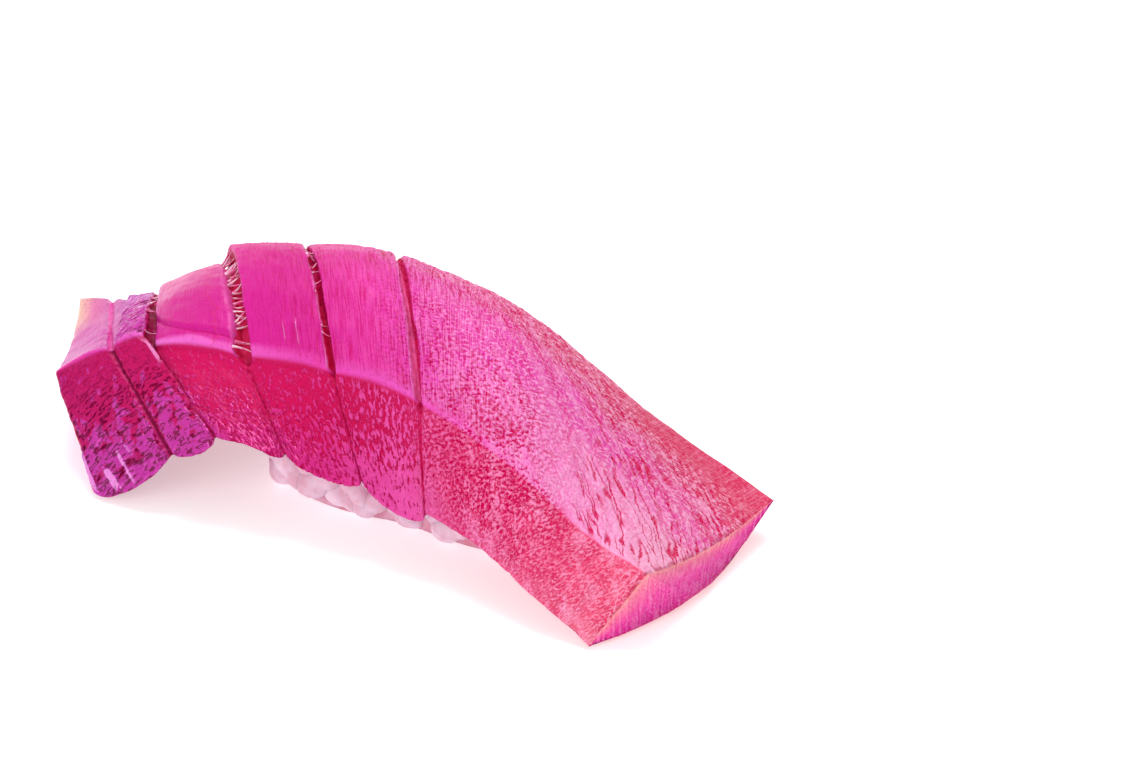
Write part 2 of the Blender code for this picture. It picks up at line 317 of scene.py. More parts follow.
def speckle_group():
    """Breaks a colour up with fine mottling: darker and paler specks of a given size and strength."""
    tree = bpy.data.node_groups.new("speckle", "ShaderNodeTree")
    for label, kind in SPECKLE_INPUTS.items():
        tree.interface.new_socket(label, in_out="INPUT", socket_type=kind)
    tree.interface.new_socket("Colour", in_out="OUTPUT", socket_type="NodeSocketColor")
    tree.interface.new_socket("Height", in_out="OUTPUT", socket_type="NodeSocketFloat")
    entry = tree.nodes.new("NodeGroupInput").outputs
    scale = calc("DIVIDE", 1.0, entry["Size"])
    grain = put(tree, "ShaderNodeTexNoise", {"Vector": entry["Vector"], "Scale": scale, "Detail": 3.0})
    grain = Number(grain.outputs[0])
    darker = blend(grain.rise(0.48, 0.34) * entry["Strength"], entry["Colour"], entry["Dark"])
    paler = blend(grain.rise(0.52, 0.68) * entry["Strength"], darker, entry["Pale"])
    put(tree, "NodeGroupOutput", {"Colour": paler, "Height": grain})
    return tree


SPECKLE = speckle_group()


def speckled(vector, colour, dark, pale, size, strength):
    """Places the speckle group in a material, and returns its colour and its height."""
    values = dict(zip(SPECKLE_INPUTS, (vector, colour, dark, pale, size, strength)))
    outputs = put(tree_of(vector), "ShaderNodeGroup", values, node_tree=SPECKLE).outputs
    return outputs["Colour"], Number(outputs["Height"])


# %% [markdown]
# ## One pattern for relief and colour
# On the real slice a dark line is dark because it is a groove, and a pale patch shines because it stands
# up. So relief and colour come from the same pattern: the colour darkens the grooves, partly with painted
# shade, and lightens what stands up with a painted highlight. The functions below build its nodes in
# either kind of tree. They return three heights: grooves, patches that stand up, and fine streaks. Noise
# gives the patches, its level lines give the winding creases, and stretched noise the fibres. A place along
# the slice runs from 0 at the tail to 7 at the near end; round the section, the foot is 0, the ridge 1 and
# the far edge 2. Sizes of noise are millimetres.

# %% Pattern of the flesh: places and helpers
LAST_PLACE = 7
PLACE_LENGTH = 12.5
TOP_WIDTH = 24
PAST_TAIL = (0.95, 1.15)
PAST_SCORES = (3.2, 4.3)
PAST_MIDDLE = (3.6, 4.6)
NEAR_END = (5.3, 6.1)
FAR_HALF = (1.4, 1.65)
STRANDS_SHOW = (0.62, 0.96)
# Two short white scratches on the fourth segment, drawn in the painted highlight colour: place along the
# slice, lowest and highest round.
SCRATCHES = ((2.45, 1.07, 1.15), (2.61, 1.06, 1.17))
TONGUE_MIDDLE = (1.52, 1.33)
TONGUE_RADIUS = 6
TONGUE_SHOWS = (1.06, 1.94)
# Level past which a mark takes the painted highlight colour.
HIGHLIGHT_LEVEL = 1.8
# Sizes of the lumps of noise that make the marks, and how much longer the strokes are than wide.
CREASE_SIZE = 0.9
PIT_SIZE = 0.42
BLOTCH_SIZE = 1.5
PEBBLE_SIZE = 0.5
DASH_SIZE = 0.34
RING_SIZE = 1.7
GLINT_SIZE = 1.2
LINE_SIZE = 1.8
FIBRE_SIZE = 0.5
STREAK_SIZE = 0.2
COMB_SIZE = 0.3
STROKE = (2.2, 1, 1)
LINE_SPACING = 0.09
LINE_WIDTH = 0.032
Facts = namedtuple("Facts", "place round gap end flow fibre")


def level_lines(pattern, spacing, width):
    """1 on evenly spaced level lines of a noise, 0 between them."""
    return calc("PINGPONG", pattern, spacing).rise(width, width * 0.3)


# %% Pattern of the slanted side


def side_creases(facts, level, height, near, past_tail, past_middle):
    """Dark creases, partly painted shade: winding ones at the tail, the rims of patches in the middle,
    dashes near the end.
    """
    flow = facts.flow
    off_tail, off_near = (past.rise(0.0, 1.0, 1.0, 0.0) for past in (past_tail, past_middle))
    rims = level.band(0.46, 0.49, 0.01) * height.rise(0.8, 0.5, 0.3, 1.0) * off_near * past_tail
    winding = noise(flow, CREASE_SIZE, (2, 1, 1), turn=-0.35, detail=1.5, shift=53.0)
    winding = level_lines(winding, 0.15, 0.055)
    pits = noise(flow, PIT_SIZE, STROKE, turn=-0.35, detail=1.0, shift=67.0).rise(0.42, 0.37)
    winding = highest(winding, pits) * facts.round.rise(0.6, 0.9, 0.9, 0.25) * off_tail
    crowded = noise(flow, 3.4, (1.6, 1, 1), turn=-0.3, shift=87.0)
    dashes = (near + (0.5 - crowded) * 0.5).rise(0.48, 0.42) * past_middle
    dashes = dashes * facts.round.rise(0.1, 0.4, 0.5, 1.0) * facts.place.rise(5.0, 6.4, 1.0, 0.4)
    return highest(rims, winding, dashes)


def side_pattern(facts):
    """The slanted side: creases, and patches that stand up, past 1 where a painted highlight is laid on."""
    place, flow = facts.place, facts.flow
    past_tail = place.rise(*PAST_TAIL)
    past_middle = place.rise(*PAST_MIDDLE)
    tail = noise(flow, BLOTCH_SIZE, (1, 1.7, 1), turn=0.3, detail=3.0, rough=0.6, shift=31.0)
    middle = noise(flow, PEBBLE_SIZE, (1, 2.2, 1), turn=0.1, rough=0.6, shift=37.0)
    near = noise(flow, DASH_SIZE, STROKE, turn=-0.6, rough=0.6, shift=43.0)
    broad = noise(flow, 5.0, detail=1.0, shift=47.0)
    height = (broad - 0.5) * 0.5 + facts.round

    level = mix(past_middle, mix(past_tail, tail, middle), near)
    by_height = height.rise(0.05, 0.85, mix(past_tail, 0.15, 0.05), -0.09) * place.rise(3.8, 4.8, 1.0, 0.1)
    level = level + by_height + place.rise(2.4, 3.8, 0.0, 0.08)
    patch = level.rise(0.5, place.rise(0.9, 1.2, 0.6, 0.54))
    patch = mix(past_middle, patch, near.rise(0.53, 0.62) * 0.5)
    nested = noise(flow, RING_SIZE, (1, 1.5, 1), turn=0.3, detail=1.0, shift=83.0)
    rings = level_lines(nested, 0.07, 0.028) * past_middle * 0.7 * broad.rise(0.4, 0.6, 0.3, 1.0)
    # Painted highlights: long glints on the tail's lower side.
    glints = noise(flow, GLINT_SIZE, (1, 8, 1), turn=-0.12, detail=1.0, shift=74.0).rise(0.55, 0.63)
    glints = glints * place.rise(0.4, 0.25) * facts.round.band(0.08, 0.55, 0.06)
    creases = side_creases(facts, level, height, near, past_tail, past_middle) * (1.0 - glints)
    return creases, highest(patch, rings) + glints * HIGHLIGHT_LEVEL


# %% Pattern of the top


def tongue_pattern(facts):
    """A smooth tongue of flesh that stands up in the third segment, and the crease round it."""
    along = highest((TONGUE_MIDDLE[0] - facts.place) * PLACE_LENGTH, 0.0)
    down = highest((TONGUE_MIDDLE[1] - facts.round) * TOP_WIDTH, 0.0)
    beyond = calc("SQRT", along * along + down * down) - TONGUE_RADIUS
    here = facts.place.band(*TONGUE_SHOWS, 0.02)
    return beyond.rise(0.1, -0.6) * here, beyond.band(0.05, 0.3, 0.12) * here * 0.4


def long_lines(facts):
    """Long dark lines that waver along the muscle fibres."""
    wiggle = (noise(facts.flow, 1.6, shift=19.0) - 0.5) * 1.4
    aside = put(tree_of(wiggle), "ShaderNodeCombineXYZ", {1: wiggle}).outputs[0]
    wavering_fibre = vector_math("ADD", facts.fibre, aside)
    combed = noise(wavering_fibre, LINE_SIZE, (7, 1, 1), detail=1.0, shift=9.0)
    broken = noise(facts.fibre, 2.4, (2.5, 1, 1), shift=13.0).rise(0.34, 0.5, 0.3, 1.0)
    return level_lines(combed, LINE_SPACING, LINE_WIDTH) * broken


def top_pattern(facts):
    """The top: dark grooves, partly painted shade, pale raised strokes, mostly painted highlight, and faint
    streaks.
    """
    place, across, flow = facts.place, facts.round, facts.flow
    past_scores = place.rise(*PAST_SCORES)
    corner = place.rise(5.6, 6.2) * across.rise(1.72, 1.88)
    near_ridge = (noise(flow, 6.0, detail=1.0, shift=3.0) * 0.5 + across).rise(1.85, 1.45)
    dots = noise(flow, DASH_SIZE, STROKE, turn=-0.5, rough=0.6, shift=21.0)
    dashes = (dots + (0.5 - noise(flow, 3.2, shift=27.0)) * 0.25).rise(0.48, 0.41)
    dashes = dashes * (near_ridge * 0.85 + 0.15) * place.rise(5.0, 5.9, 1.0, 0.1) * past_scores
    lines = long_lines(facts) * highest(across.rise(*FAR_HALF), place.rise(*NEAR_END))
    lines = lines * past_scores * (1.0 - corner * 0.8)
    strands = noise(flow, FIBRE_SIZE, (1, 6, 1), turn=0.75, detail=3.0, shift=12.0)
    on_strands = place.band(*STRANDS_SHOW, 0.03)
    tongue, edge = tongue_pattern(facts)
    grooves = highest(dashes, lines, strands.rise(0.47, 0.4) * on_strands, edge)

    grain = noise(facts.fibre, FIBRE_SIZE, STROKE, detail=3.0, rough=0.6, shift=25.0)
    grain = highest(grain.rise(0.52, 0.62, 0.0, 0.7), dots.rise(0.54, 0.61)) * past_scores
    strokes = strands.rise(0.54, 0.6) * on_strands * across.rise(1.35, 1.8, 0.9, HIGHLIGHT_LEVEL)
    strokes = highest(strokes, grain * (1.0 - corner * 0.85), tongue * 0.2)
    for middle, low, high in SCRATCHES:
        here = place.band(middle - 0.01, middle + 0.01, 0.01) * across.band(low, high, 0.02)
        strokes = strokes + here * HIGHLIGHT_LEVEL
    streaks = noise(flow, STREAK_SIZE, (1, 22, 1), turn=0.06, detail=3.0, shift=1.0)
    streaks = streaks.rise(0.36, 0.64, -1.0, 1.0)
    return grooves, strokes, streaks * place.rise(1.9, 2.8, 0.35, 1.0) * place.rise(4.0, 5.2, 1.0, 0.25)


def flesh_pattern(facts):
    """Grooves, raised patches and streaks of the whole skin, each only where it belongs."""
    blurred = facts.place.band(4.5, 5.5, 0.5)
    wander = noise(facts.flow, 3.0, shift=57.0) - 0.75
    over_ridge = blurred * wander * 0.4 + facts.round
    on_top = over_ridge.rise(1.0 - blurred * 0.08, 1.03) * facts.round.rise(2.0, 1.97)
    on_side = over_ridge.rise(blurred * 0.08 + 1.0, 0.97) * facts.round.rise(0.0, 0.02)
    clear = facts.end.rise(0.06, 0.0) * calc("ABSOLUTE", facts.gap).rise(0.8, 1.1)
    crease, patch = side_pattern(facts)
    dark, pale, streaks = top_pattern(facts)
    combed = noise(facts.flow, COMB_SIZE, (14, 1, 1), turn=0.8, shift=71.0).rise(0.4, 0.6, -1.0, 1.0)
    streaks = mix(facts.end.rise(0.03, 0.1), streaks * on_top * clear, combed)
    return (crease * on_side + dark * on_top) * clear, (patch * on_side + pale * on_top) * clear, streaks


# %% [markdown]
# ## Colours of the flesh
# The broad colours are ramps along the slice, one for each long band of its section: the foot, the
# slanted side, the ridge, the top and the far edge. The ridge's band is a painted highlight along the
# ridge. Between bands they fade into each other. Each stop gives a place, 0 at the tail and 1 at the near
# end, and a colour as it looks on screen, because that is how a painter matches it.

# %% Flesh colours
FOOT_COLOURS = ((0, 160, 22, 96), (0.13, 176, 20, 88), (0.16, 186, 14, 92), (0.5, 188, 22, 96),
                (0.66, 208, 56, 112), (1, 234, 98, 126))
SIDE_COLOURS = ((0, 176, 18, 88), (0.13, 186, 16, 86), (0.17, 200, 12, 86), (0.5, 190, 6, 70),
                (0.6, 200, 16, 80), (0.74, 214, 42, 98), (1, 236, 86, 120))
# Painted highlight along the rounded ridge.
RIDGE_HIGHLIGHT_COLOURS = ((0, 224, 70, 158), (0.083, 212, 66, 170), (0.15, 232, 112, 206), (0.27, 228, 92, 190),
                 (0.4, 224, 66, 172), (0.56, 228, 88, 190), (0.64, 226, 74, 172), (0.8, 238, 126, 194),
                 (1, 244, 170, 206))
TOP_COLOURS = ((0, 196, 44, 154), (0.083, 198, 46, 158), (0.088, 194, 46, 158), (0.14, 200, 50, 166),
               (0.147, 204, 26, 144), (0.42, 208, 34, 146), (0.5, 224, 50, 160), (0.58, 228, 60, 182),
               (0.76, 226, 62, 172), (1, 230, 92, 170))
FAR_COLOURS = ((0, 244, 204, 176), (0.03, 222, 124, 170), (0.088, 190, 90, 170), (0.14, 226, 176, 222),
               (0.147, 210, 34, 140), (0.42, 212, 38, 140), (0.58, 222, 84, 164), (0.7, 206, 40, 108),
               (0.86, 196, 28, 76), (1, 214, 66, 100))
SCORE_COLOURS = ((0, 232, 96, 176), (0.11, 228, 84, 170), (0.135, 206, 30, 104), (0.25, 238, 50, 110),
                 (0.35, 226, 34, 96), (0.42, 214, 20, 80), (0.54, 220, 30, 90), (0.575, 234, 100, 168))
END_COLOURS = ((0, 252, 170, 160), (0.12, 250, 122, 156), (0.45, 244, 64, 168), (0.8, 214, 22, 146),
               (1, 190, 12, 100))
# Deeper flesh for clouds, streaks and specks, and painted shade in grooves, creases and scores.
DEEP_AND_SHADE_COLOURS = ((0, 92, 0, 36), (0.13, 108, 0, 42), (0.17, 166, 2, 60), (0.55, 186, 0, 72),
                  (0.7, 204, 0, 82), (1, 210, 16, 82))
# Paler flesh for clouds, streaks and specks, and the painted highlight on patches and strokes that stand
# up.
PALE_AND_SHEEN_COLOURS = ((0, 184, 50, 160), (0.13, 190, 50, 158), (0.17, 196, 26, 116), (0.36, 206, 40, 130),
                  (0.55, 226, 84, 168), (0.68, 250, 160, 214), (1, 254, 190, 222))
LIP_COLOUR = tint(240, 150, 214)
# Painted highlight: the colour of glints and the brightest strokes.
HIGHLIGHT_COLOUR = tint(226, 140, 214)
RIM_COLOUR = tint(186, 4, 62)
SPECULAR_TINT = tint(255, 130, 215)
SCATTER = (1.0, 0.35, 0.45)
BUMP_STRENGTH = 0.45
BUMP_DEPTH = 0.14 * MM
FLESH_SPECK_SIZE = 0.35
FLESH_SPECK_STRENGTH = 0.55
# Where the painted highlight along the ridge gives way to the top, round the section.
RIDGE_HIGHLIGHT_BAND = 1.04


def skin_facts(tree, read):
    """What the skin's points carry, read with a function for this kind of tree."""
    numbers = (read(tree, label, "FLOAT") for label in ("place", "round", "gap", "end"))
    vectors = (read(tree, label, "FLOAT_VECTOR") for label in ("flow", "fibre"))
    return Facts(*numbers, *vectors)


def attribute(tree, name, kind="FLOAT"):
    """Reads what the mesh carries under a name, in a material."""
    outputs = put(tree, "ShaderNodeAttribute", attribute_name=name).outputs
    return Number(outputs["Fac"]) if kind == "FLOAT" else outputs["Vector"]


# %% Colour of the skin, band by band


def broad_colour(facts):
    """The bands of colour round the section, each a ramp along the slice."""
    wander = noise(facts.flow, 4.0, detail=4.0) - 0.5
    along = calc("DIVIDE", wander * 0.05 + facts.place, LAST_PLACE)
    foot, side, ridge, top, far = (colour_ramp(along, stops) for stops in (
        FOOT_COLOURS, SIDE_COLOURS, RIDGE_HIGHLIGHT_COLOURS, TOP_COLOURS, FAR_COLOURS))
    climb = wander * 0.5 + facts.round
    # The ridge's band is a painted highlight, and past the scores it widens over the top.
    soft = facts.place.rise(3.9, 5.4, 0.0, 0.24)
    past_ridge = wander * 0.06 + facts.round - soft
    past_ridge = past_ridge.rise(RIDGE_HIGHLIGHT_BAND - 0.02, soft * 0.6 + (RIDGE_HIGHLIGHT_BAND + 0.02))
    over = blend(climb.rise(1.42, 1.8), blend(past_ridge, ridge, top), far)
    colour = blend(climb.rise(0.12, 0.36), foot, side)
    colour = blend(facts.round.rise(0.985, 1.01), colour, over)
    return blend(facts.round.rise(2.02, 2.3), colour, foot)


def clouded(facts, colour, pale, dark, off_far_edge):
    """Soft clouds of paler and deeper flesh, mostly past the scores."""
    clouds = noise(facts.fibre, 2.2, (2.5, 1, 1), detail=3.0, shift=81.0)
    strength = facts.place.rise(3.8, 4.6, 0.25, 1.0)
    colour = blend(clouds.rise(0.5, 0.66, 0.0, 0.3) * strength * off_far_edge, colour, pale)
    return blend(clouds.rise(0.5, 0.34, 0.0, 0.3) * strength, colour, dark)


def scored(facts, along, colour, dark):
    """The scores: a pale lip, crimson walls, a bottom and second wall darkened with painted shade, and a
    torn pale flap beside the second.
    """
    on_top = facts.round.rise(1.0, 1.02)
    lip = facts.gap.band(-1.3, -0.85, 0.12) * on_top * facts.place.rise(2.2, 2.6, 0.2, 0.5)
    colour = blend(lip, colour, LIP_COLOUR)
    # Painted shade: each score darkens from its bottom to its second wall, and on the slanted side the thin
    # score is darkened all across.
    bottom_shade = facts.place.rise(0.75, 0.95, 0.2, 0.95)
    deep = blend(facts.gap.rise(-0.2, 0.15, 0.0, bottom_shade), colour_ramp(along, SCORE_COLOURS), dark)
    inside = calc("ABSOLUTE", facts.gap).rise(mix(on_top, 0.6, 0.95), mix(on_top, 0.3, 0.75))
    colour = blend(inside * mix(on_top, 0.75, 1.0), colour, blend(on_top, dark, deep))
    flap = facts.gap.band(-2.7, -1.0, 0.3) * facts.round.band(0.78, 0.97, 0.04)
    return blend(flap * facts.place.band(0.8, 1.05, 0.03) * 0.7, colour, LIP_COLOUR)


def with_end_face(facts, colour):
    """The near end's cut face, pale at its upper rim and deeper below, combed by the knife."""
    combed = noise(facts.flow, COMB_SIZE, (16, 1, 1), turn=0.8, detail=3.0)
    face = colour_ramp((combed - 0.5) * 0.35 + facts.end, END_COLOURS)
    return blend(facts.end.rise(0.0, 0.02), colour, face)


def with_rims(facts, colour):
    """Thin dark lines along the foot and, broken, along the near end."""
    foot = facts.round.band(-0.02, 0.018, 0.01) * facts.place.rise(0.0, 0.1)
    broken = noise(facts.flow, 1.2, shift=77.0).rise(0.42, 0.55)
    last = facts.place.rise(6.95, 6.985) * facts.end.rise(0.04, 0.0) * broken * 0.7
    return blend(highest(foot, last) * 0.8, colour, RIM_COLOUR)


# %% Flesh material


def flesh_material():
    made, shader = new_material("tuna flesh")
    facts = skin_facts(made.node_tree, attribute)
    groove, raised, streaks = flesh_pattern(facts)
    along = calc("DIVIDE", facts.place, LAST_PLACE)
    pale, dark = colour_ramp(along, PALE_AND_SHEEN_COLOURS), colour_ramp(along, DEEP_AND_SHADE_COLOURS)
    off_far_edge = facts.round.rise(1.6, 1.85, 1.0, 0.25)
    colour = clouded(facts, broad_colour(facts), pale, dark, off_far_edge)
    # Painted light: what stands up is lightened as a painted highlight, past 1 it takes the highlight
    # colour, and grooves are darkened, partly with painted shade.
    colour = blend(raised * 0.8, colour, pale)
    colour = blend(raised.rise(1.0, HIGHLIGHT_LEVEL, 0.0, 0.9), colour, HIGHLIGHT_COLOUR)
    colour = blend(groove, colour, dark)
    colour = with_end_face(facts, scored(facts, along, colour, dark))
    showing = streaks * facts.end.rise(0.0, 0.1, 1.0, 0.22)
    colour = blend(calc("MULTIPLY", showing, 0.7, clamp=True), colour, pale)
    colour = blend(calc("MULTIPLY", showing, -0.55, clamp=True), colour, dark)
    colour = with_rims(facts, colour)
    paler, darker = blend(0.4, colour, pale), blend(0.5, colour, dark)
    colour, specks = speckled(facts.flow, colour, darker, paler, FLESH_SPECK_SIZE, FLESH_SPECK_STRENGTH)

    height = raised * 0.6 - groove + streaks * 0.4 + specks * 0.8
    bump = put(made.node_tree, "ShaderNodeBump",
               {"Strength": BUMP_STRENGTH, "Distance": BUMP_DEPTH, "Height": height})
    shine = raised * facts.place.rise(0.8, 1.3, 0.9, 0.5) + (groove * -0.2 + 0.22)
    shine = calc("MAXIMUM", calc("MINIMUM", shine, 1.0), 0.0) * off_far_edge
    wet = highest(raised * -0.16 + facts.place.rise(0.8, 2.0, 0.32, 0.4), 0.12)
    fill(shader, {"Base Color": colour, "Normal": bump.outputs[0], "Roughness": wet,
                  "Specular IOR Level": shine, "Specular Tint": SPECULAR_TINT, "Subsurface Weight": 0.1,
                  "Subsurface Radius": SCATTER, "Subsurface Scale": 0.8 * MM})
    return made


FLESH = flesh_material()
print("flesh material has", len(FLESH.node_tree.nodes), "nodes")

# %% [markdown]
# ## The slice: guide lines
# A slice of fish is neither a box nor a sphere, but a knife's path: two slanted sides, a crowned top and
# an underside that takes the rice's shape. Four edges run its whole length. Each is a smooth curve
# through eight places, so the slab is a loft: at any place along it, the four edges give its section.
# All sizes in this part are millimetres.

# %% Guide lines of the slice
FOOT = ((-33, -24, 0.6), (-18.5, -18.2, 10.4), (-9, -16.5, 9.8), (1.2, -16, 9),
        (10, -16.5, 7.6), (19, -18, 6.3), (27, -20, 3.6), (34.2, -20.8, 0.4))
RIDGE = ((-44, -16.5, 10.5), (-33.5, -10.5, 15), (-20, -8.5, 15.8), (-7.5, -8.5, 17.4),
         (5, -9.5, 17.7), (18, -11.5, 14.9), (29.5, -13.5, 10.3), (38.5, -15, 8.7))
FAR_EDGE = ((-57, 5.5, 6.4), (-47.5, 10, 7.6), (-38.5, 13, 13.8), (-27, 14, 18.2),
            (-13.5, 14.5, 20), (4, 15, 18), (22.5, 15, 8.8), (41.5, 11.8, 4.2))
HEEL = ((-50, -0.5, 0.8), (-41, 4, 2.2), (-30, 7, 7.6), (-19, 8, 10.6),
        (-8, 8.5, 11.6), (6, 8.5, 9.8), (22, 8.5, 3), (40.8, 3, 0.4))
CROWN = (-1.9, 1.6, 4.6, 5.4, 6.6, 5.8, 3.2, -1.6)
HOLLOW = (0.4, 1.6, 3.2, 4, 4, 3, 1, 0)
Score = namedtuple("Score", "place width depth side_depth ridge_rise far_rise ragged")
SCORES = (Score(0.6, 0.9, 0.7, 0.5, 0, 0.8, 0.15), Score(1, 1.5, 1.2, 0.4, -1.6, 0.8, 0.2),
          Score(1.94, 2.2, 2.4, 0.2, 0, 3.2, 0.3), Score(2.97, 1.1, 1.5, 0.2, 0, -0.4, 0.2),
          Score(4, 1.3, 1, 0.12, 0, 0, 0.12))
RISE_REACH = 0.75
SEGMENT_SWELL = 0.7
FOOT_SWELL = 2.3
END_BULGE = 2.4
LOWEST = 0.3
ORIGIN_SHIFT = np.array((7.75, 4.37, 0))


def smooth_curve(values, places):
    """Catmull-Rom curve through evenly numbered values, read at the numbers in places."""
    values = np.asarray(values, float)
    if values.ndim == 1:
        return smooth_curve(values[:, None], places)[:, 0]
    held = np.vstack([2 * values[0] - values[1], values, 2 * values[-1] - values[-2]])
    first = np.clip(np.floor(places).astype(int), 0, len(values) - 2)
    t = (places - first)[:, None]
    a, b, c, d = (held[first + k] for k in range(4))
    return b + 0.5 * t * (c - a + t * (2 * a - 5 * b + 4 * c - d + t * (3 * (b - c) + d - a)))


def between(start, end, fraction):
    """Points on the straight lines from start to end: one row for each place, one column a fraction."""
    fraction = fraction[None, :, None]
    return start[:, None] * (1 - fraction) + end[:, None] * fraction


def arch(fraction):
    """A parabola that is 0 at both ends of a span and 1 in its middle."""
    return 4 * fraction * (1 - fraction)


def segment_swell(places):
    """The swelling of the flesh between two scores, none past the last one."""
    marks = [0] + [score.place for score in SCORES]
    swell = np.zeros(len(places))
    for start, end in zip(marks, marks[1:]):
        inside = (places > start) & (places < end)
        swell[inside] = arch((places[inside] - start) / (end - start))
    return swell


def rise_at(places, across):
    """How much a segment stands up or lies low beside each score."""
    total = np.zeros((len(places), len(across)))
    for score in SCORES:
        away = places - score.place
        fade = np.sign(away) * np.clip(1 - np.abs(away) / RISE_REACH, 0, 1)
        total += fade[:, None] * (score.ridge_rise * (1 - across) + score.far_rise * across)[None] / 2
    return total


# %% [markdown]
# ## The slice: a closed skin of points
# The section runs from the foot up the slanted side to the ridge, over the top to the far edge, down the
# undercut far side to the heel and back below the slab. Numbering its points round the section, from 0
# at the foot to 4 at the foot again, gives every vertex an address that materials and relief can use.
# Scores are V-shaped valleys, cut by moving points in along the surface's own direction.

# %% Resolution and score depth
SIDE_STEPS = 80
TOP_STEPS = 100
FAR_STEPS = 6
UNDER_STEPS = 12
COLUMNS = 440
END_ROWS = 16
SIDE_HALF_WIDTH = 0.3
RIDGE_FADE = 1.4
WALL_SHARE = 0.75
NO_GAP = 3.0
TAIL_SKEW = -0.2
# Lengths of the waves in a torn lip, each with its strength, and how calm the lip past the gap is.
LIP_WAVES = ((11, 0.4), (4.3, 0.3), (2.2, 0.25), (1.1, 0.2))
SECOND_LIP_SHARE = 0.4
SECOND_LIP_SEED = 10


def wavering(seed, distances):
    """A wavering line between about -1 and 1: sines of several lengths with drawn phases."""
    draw = np.random.default_rng(seed)
    total = np.zeros(distances.shape)
    for length, strength in LIP_WAVES:
        total += strength * np.sin(distances / length * 2 * math.pi + draw.uniform(0, 2 * math.pi))
    return total


def score_at(places, from_ridge):
    """How the scores cut the skin. The gap is -1 and 1 at a score's two lips and 0 at its bottom."""
    gap = np.full(from_ridge.shape, NO_GAP)
    depth = np.zeros(from_ridge.shape)
    down_side = np.clip(-from_ridge / RIDGE_FADE, 0, 1)
    for number, score in enumerate(SCORES):
        skew = TAIL_SKEW * np.clip(from_ridge / TOP_WIDTH, 0, 1) if number == 0 else 0
        away = (places[:, None] - score.place - skew) * PLACE_LENGTH
        first = 1 + score.ragged * wavering(number, from_ridge)
        second = 1 + SECOND_LIP_SHARE * score.ragged * wavering(number + SECOND_LIP_SEED, from_ridge)
        half = score.width / 2 * np.where(away < 0, first, second)
        half = half * (1 - down_side) + SIDE_HALF_WIDTH * down_side
        here = np.clip(away / half, -NO_GAP, NO_GAP)
        deep = score.depth * (1 - down_side) + score.side_depth * down_side
        depth = np.maximum(depth, deep * np.clip((1 - np.abs(here)) / WALL_SHARE, 0, 1))
        gap = np.where(np.abs(here) < np.abs(gap), here, gap)
    return gap, depth


def faces_out(sheet):
    normal = np.cross(np.gradient(sheet, axis=0), np.gradient(sheet, axis=1))
    return normal / np.linalg.norm(normal, axis=2, keepdims=True)


def walk_across(sheet, start):
    """Distance across the sheet from its row numbered start, less than 0 before it."""
    walked = np.cumsum(np.linalg.norm(np.diff(sheet, axis=1, prepend=sheet[:, :1]), axis=2), axis=1)
    return walked - walked[:, start:start + 1]


def upper_sheet(places):
    """The slanted side and the top, from the foot over the ridge to the far edge, with its scores' gap."""
    foot, ridge, far = (smooth_curve(line, places) for line in (FOOT, RIDGE, FAR_EDGE))
    slant = (foot - ridge) / np.linalg.norm(foot - ridge, axis=1, keepdims=True)
    foot = foot + slant * FOOT_SWELL * np.sqrt(segment_swell(places))[:, None]
    foot[:, 2] = np.maximum(foot[:, 2], LOWEST)
    up_side = np.linspace(0, 1, SIDE_STEPS + 1)
    over_top = np.linspace(0, 1, TOP_STEPS + 1)
    side = between(foot, ridge, up_side)
    side[..., 2] += up_side * rise_at(places, np.zeros(len(up_side)))
    top = between(ridge, far, over_top)
    top[..., 2] += arch(over_top) * smooth_curve(CROWN, places)[:, None] + rise_at(places, over_top)
    top[..., 2] += SEGMENT_SWELL * segment_swell(places)[:, None] * (1 - over_top ** 4)
    sheet = np.concatenate([side[:, :-1], top], axis=1)
    from_ridge = walk_across(sheet, SIDE_STEPS)
    gap, depth = score_at(places, from_ridge)
    return sheet - faces_out(sheet) * depth[..., None], gap, from_ridge


def lower_sheet(places, upper):
    """The underside and the far side, from the foot by way of the heel to the far edge."""
    heel = smooth_curve(HEEL, places)
    across = np.linspace(0, 1, UNDER_STEPS + 1)
    under = between(upper[:, 0], heel, across)
    under[..., 2] += arch(across) * smooth_curve(HOLLOW, places)[:, None]
    near_end = np.clip(places - (len(FOOT) - 2), 0, 1) ** 2
    under[..., 0] += END_BULGE * near_end[:, None] * arch(across)
    far_side = between(heel, upper[:, -1], np.linspace(0, 1, FAR_STEPS + 1))
    sheet = np.concatenate([under[:, :-1], far_side], axis=1)
    inner = sheet[:, 1:-1]
    inner[..., 2] = np.maximum(inner[..., 2], LOWEST)
    return sheet


# %% The skin's vertices, faces and addresses
SCORE_REACH = 0.13
SCORE_CROWDING = 1.2
PLACE_SAMPLES = 4000
OVER = SIDE_STEPS + TOP_STEPS
ROUND_STEPS = (SIDE_STEPS, TOP_STEPS, FAR_STEPS, UNDER_STEPS)
# How far the muscle fibres turn from the slice's length, in degrees, at places along it.
FIBRE_PLACES = (3.5, 4.2, 4.8, 5.5, 7)
FIBRE_TURNS = (-90, -75, -50, -38, -30)


def slice_places():
    """Places along the slice, drawn closer together inside the scores."""
    fine = np.linspace(0, LAST_PLACE, PLACE_SAMPLES)
    nearest = np.min([np.abs(fine - score.place) for score in SCORES], axis=0)
    weight = 1 + SCORE_CROWDING * (nearest < SCORE_REACH)
    walked = np.concatenate([[0], np.cumsum((weight[1:] + weight[:-1]) / 2)])
    return np.interp(np.linspace(0, walked[-1], COLUMNS), walked, fine)


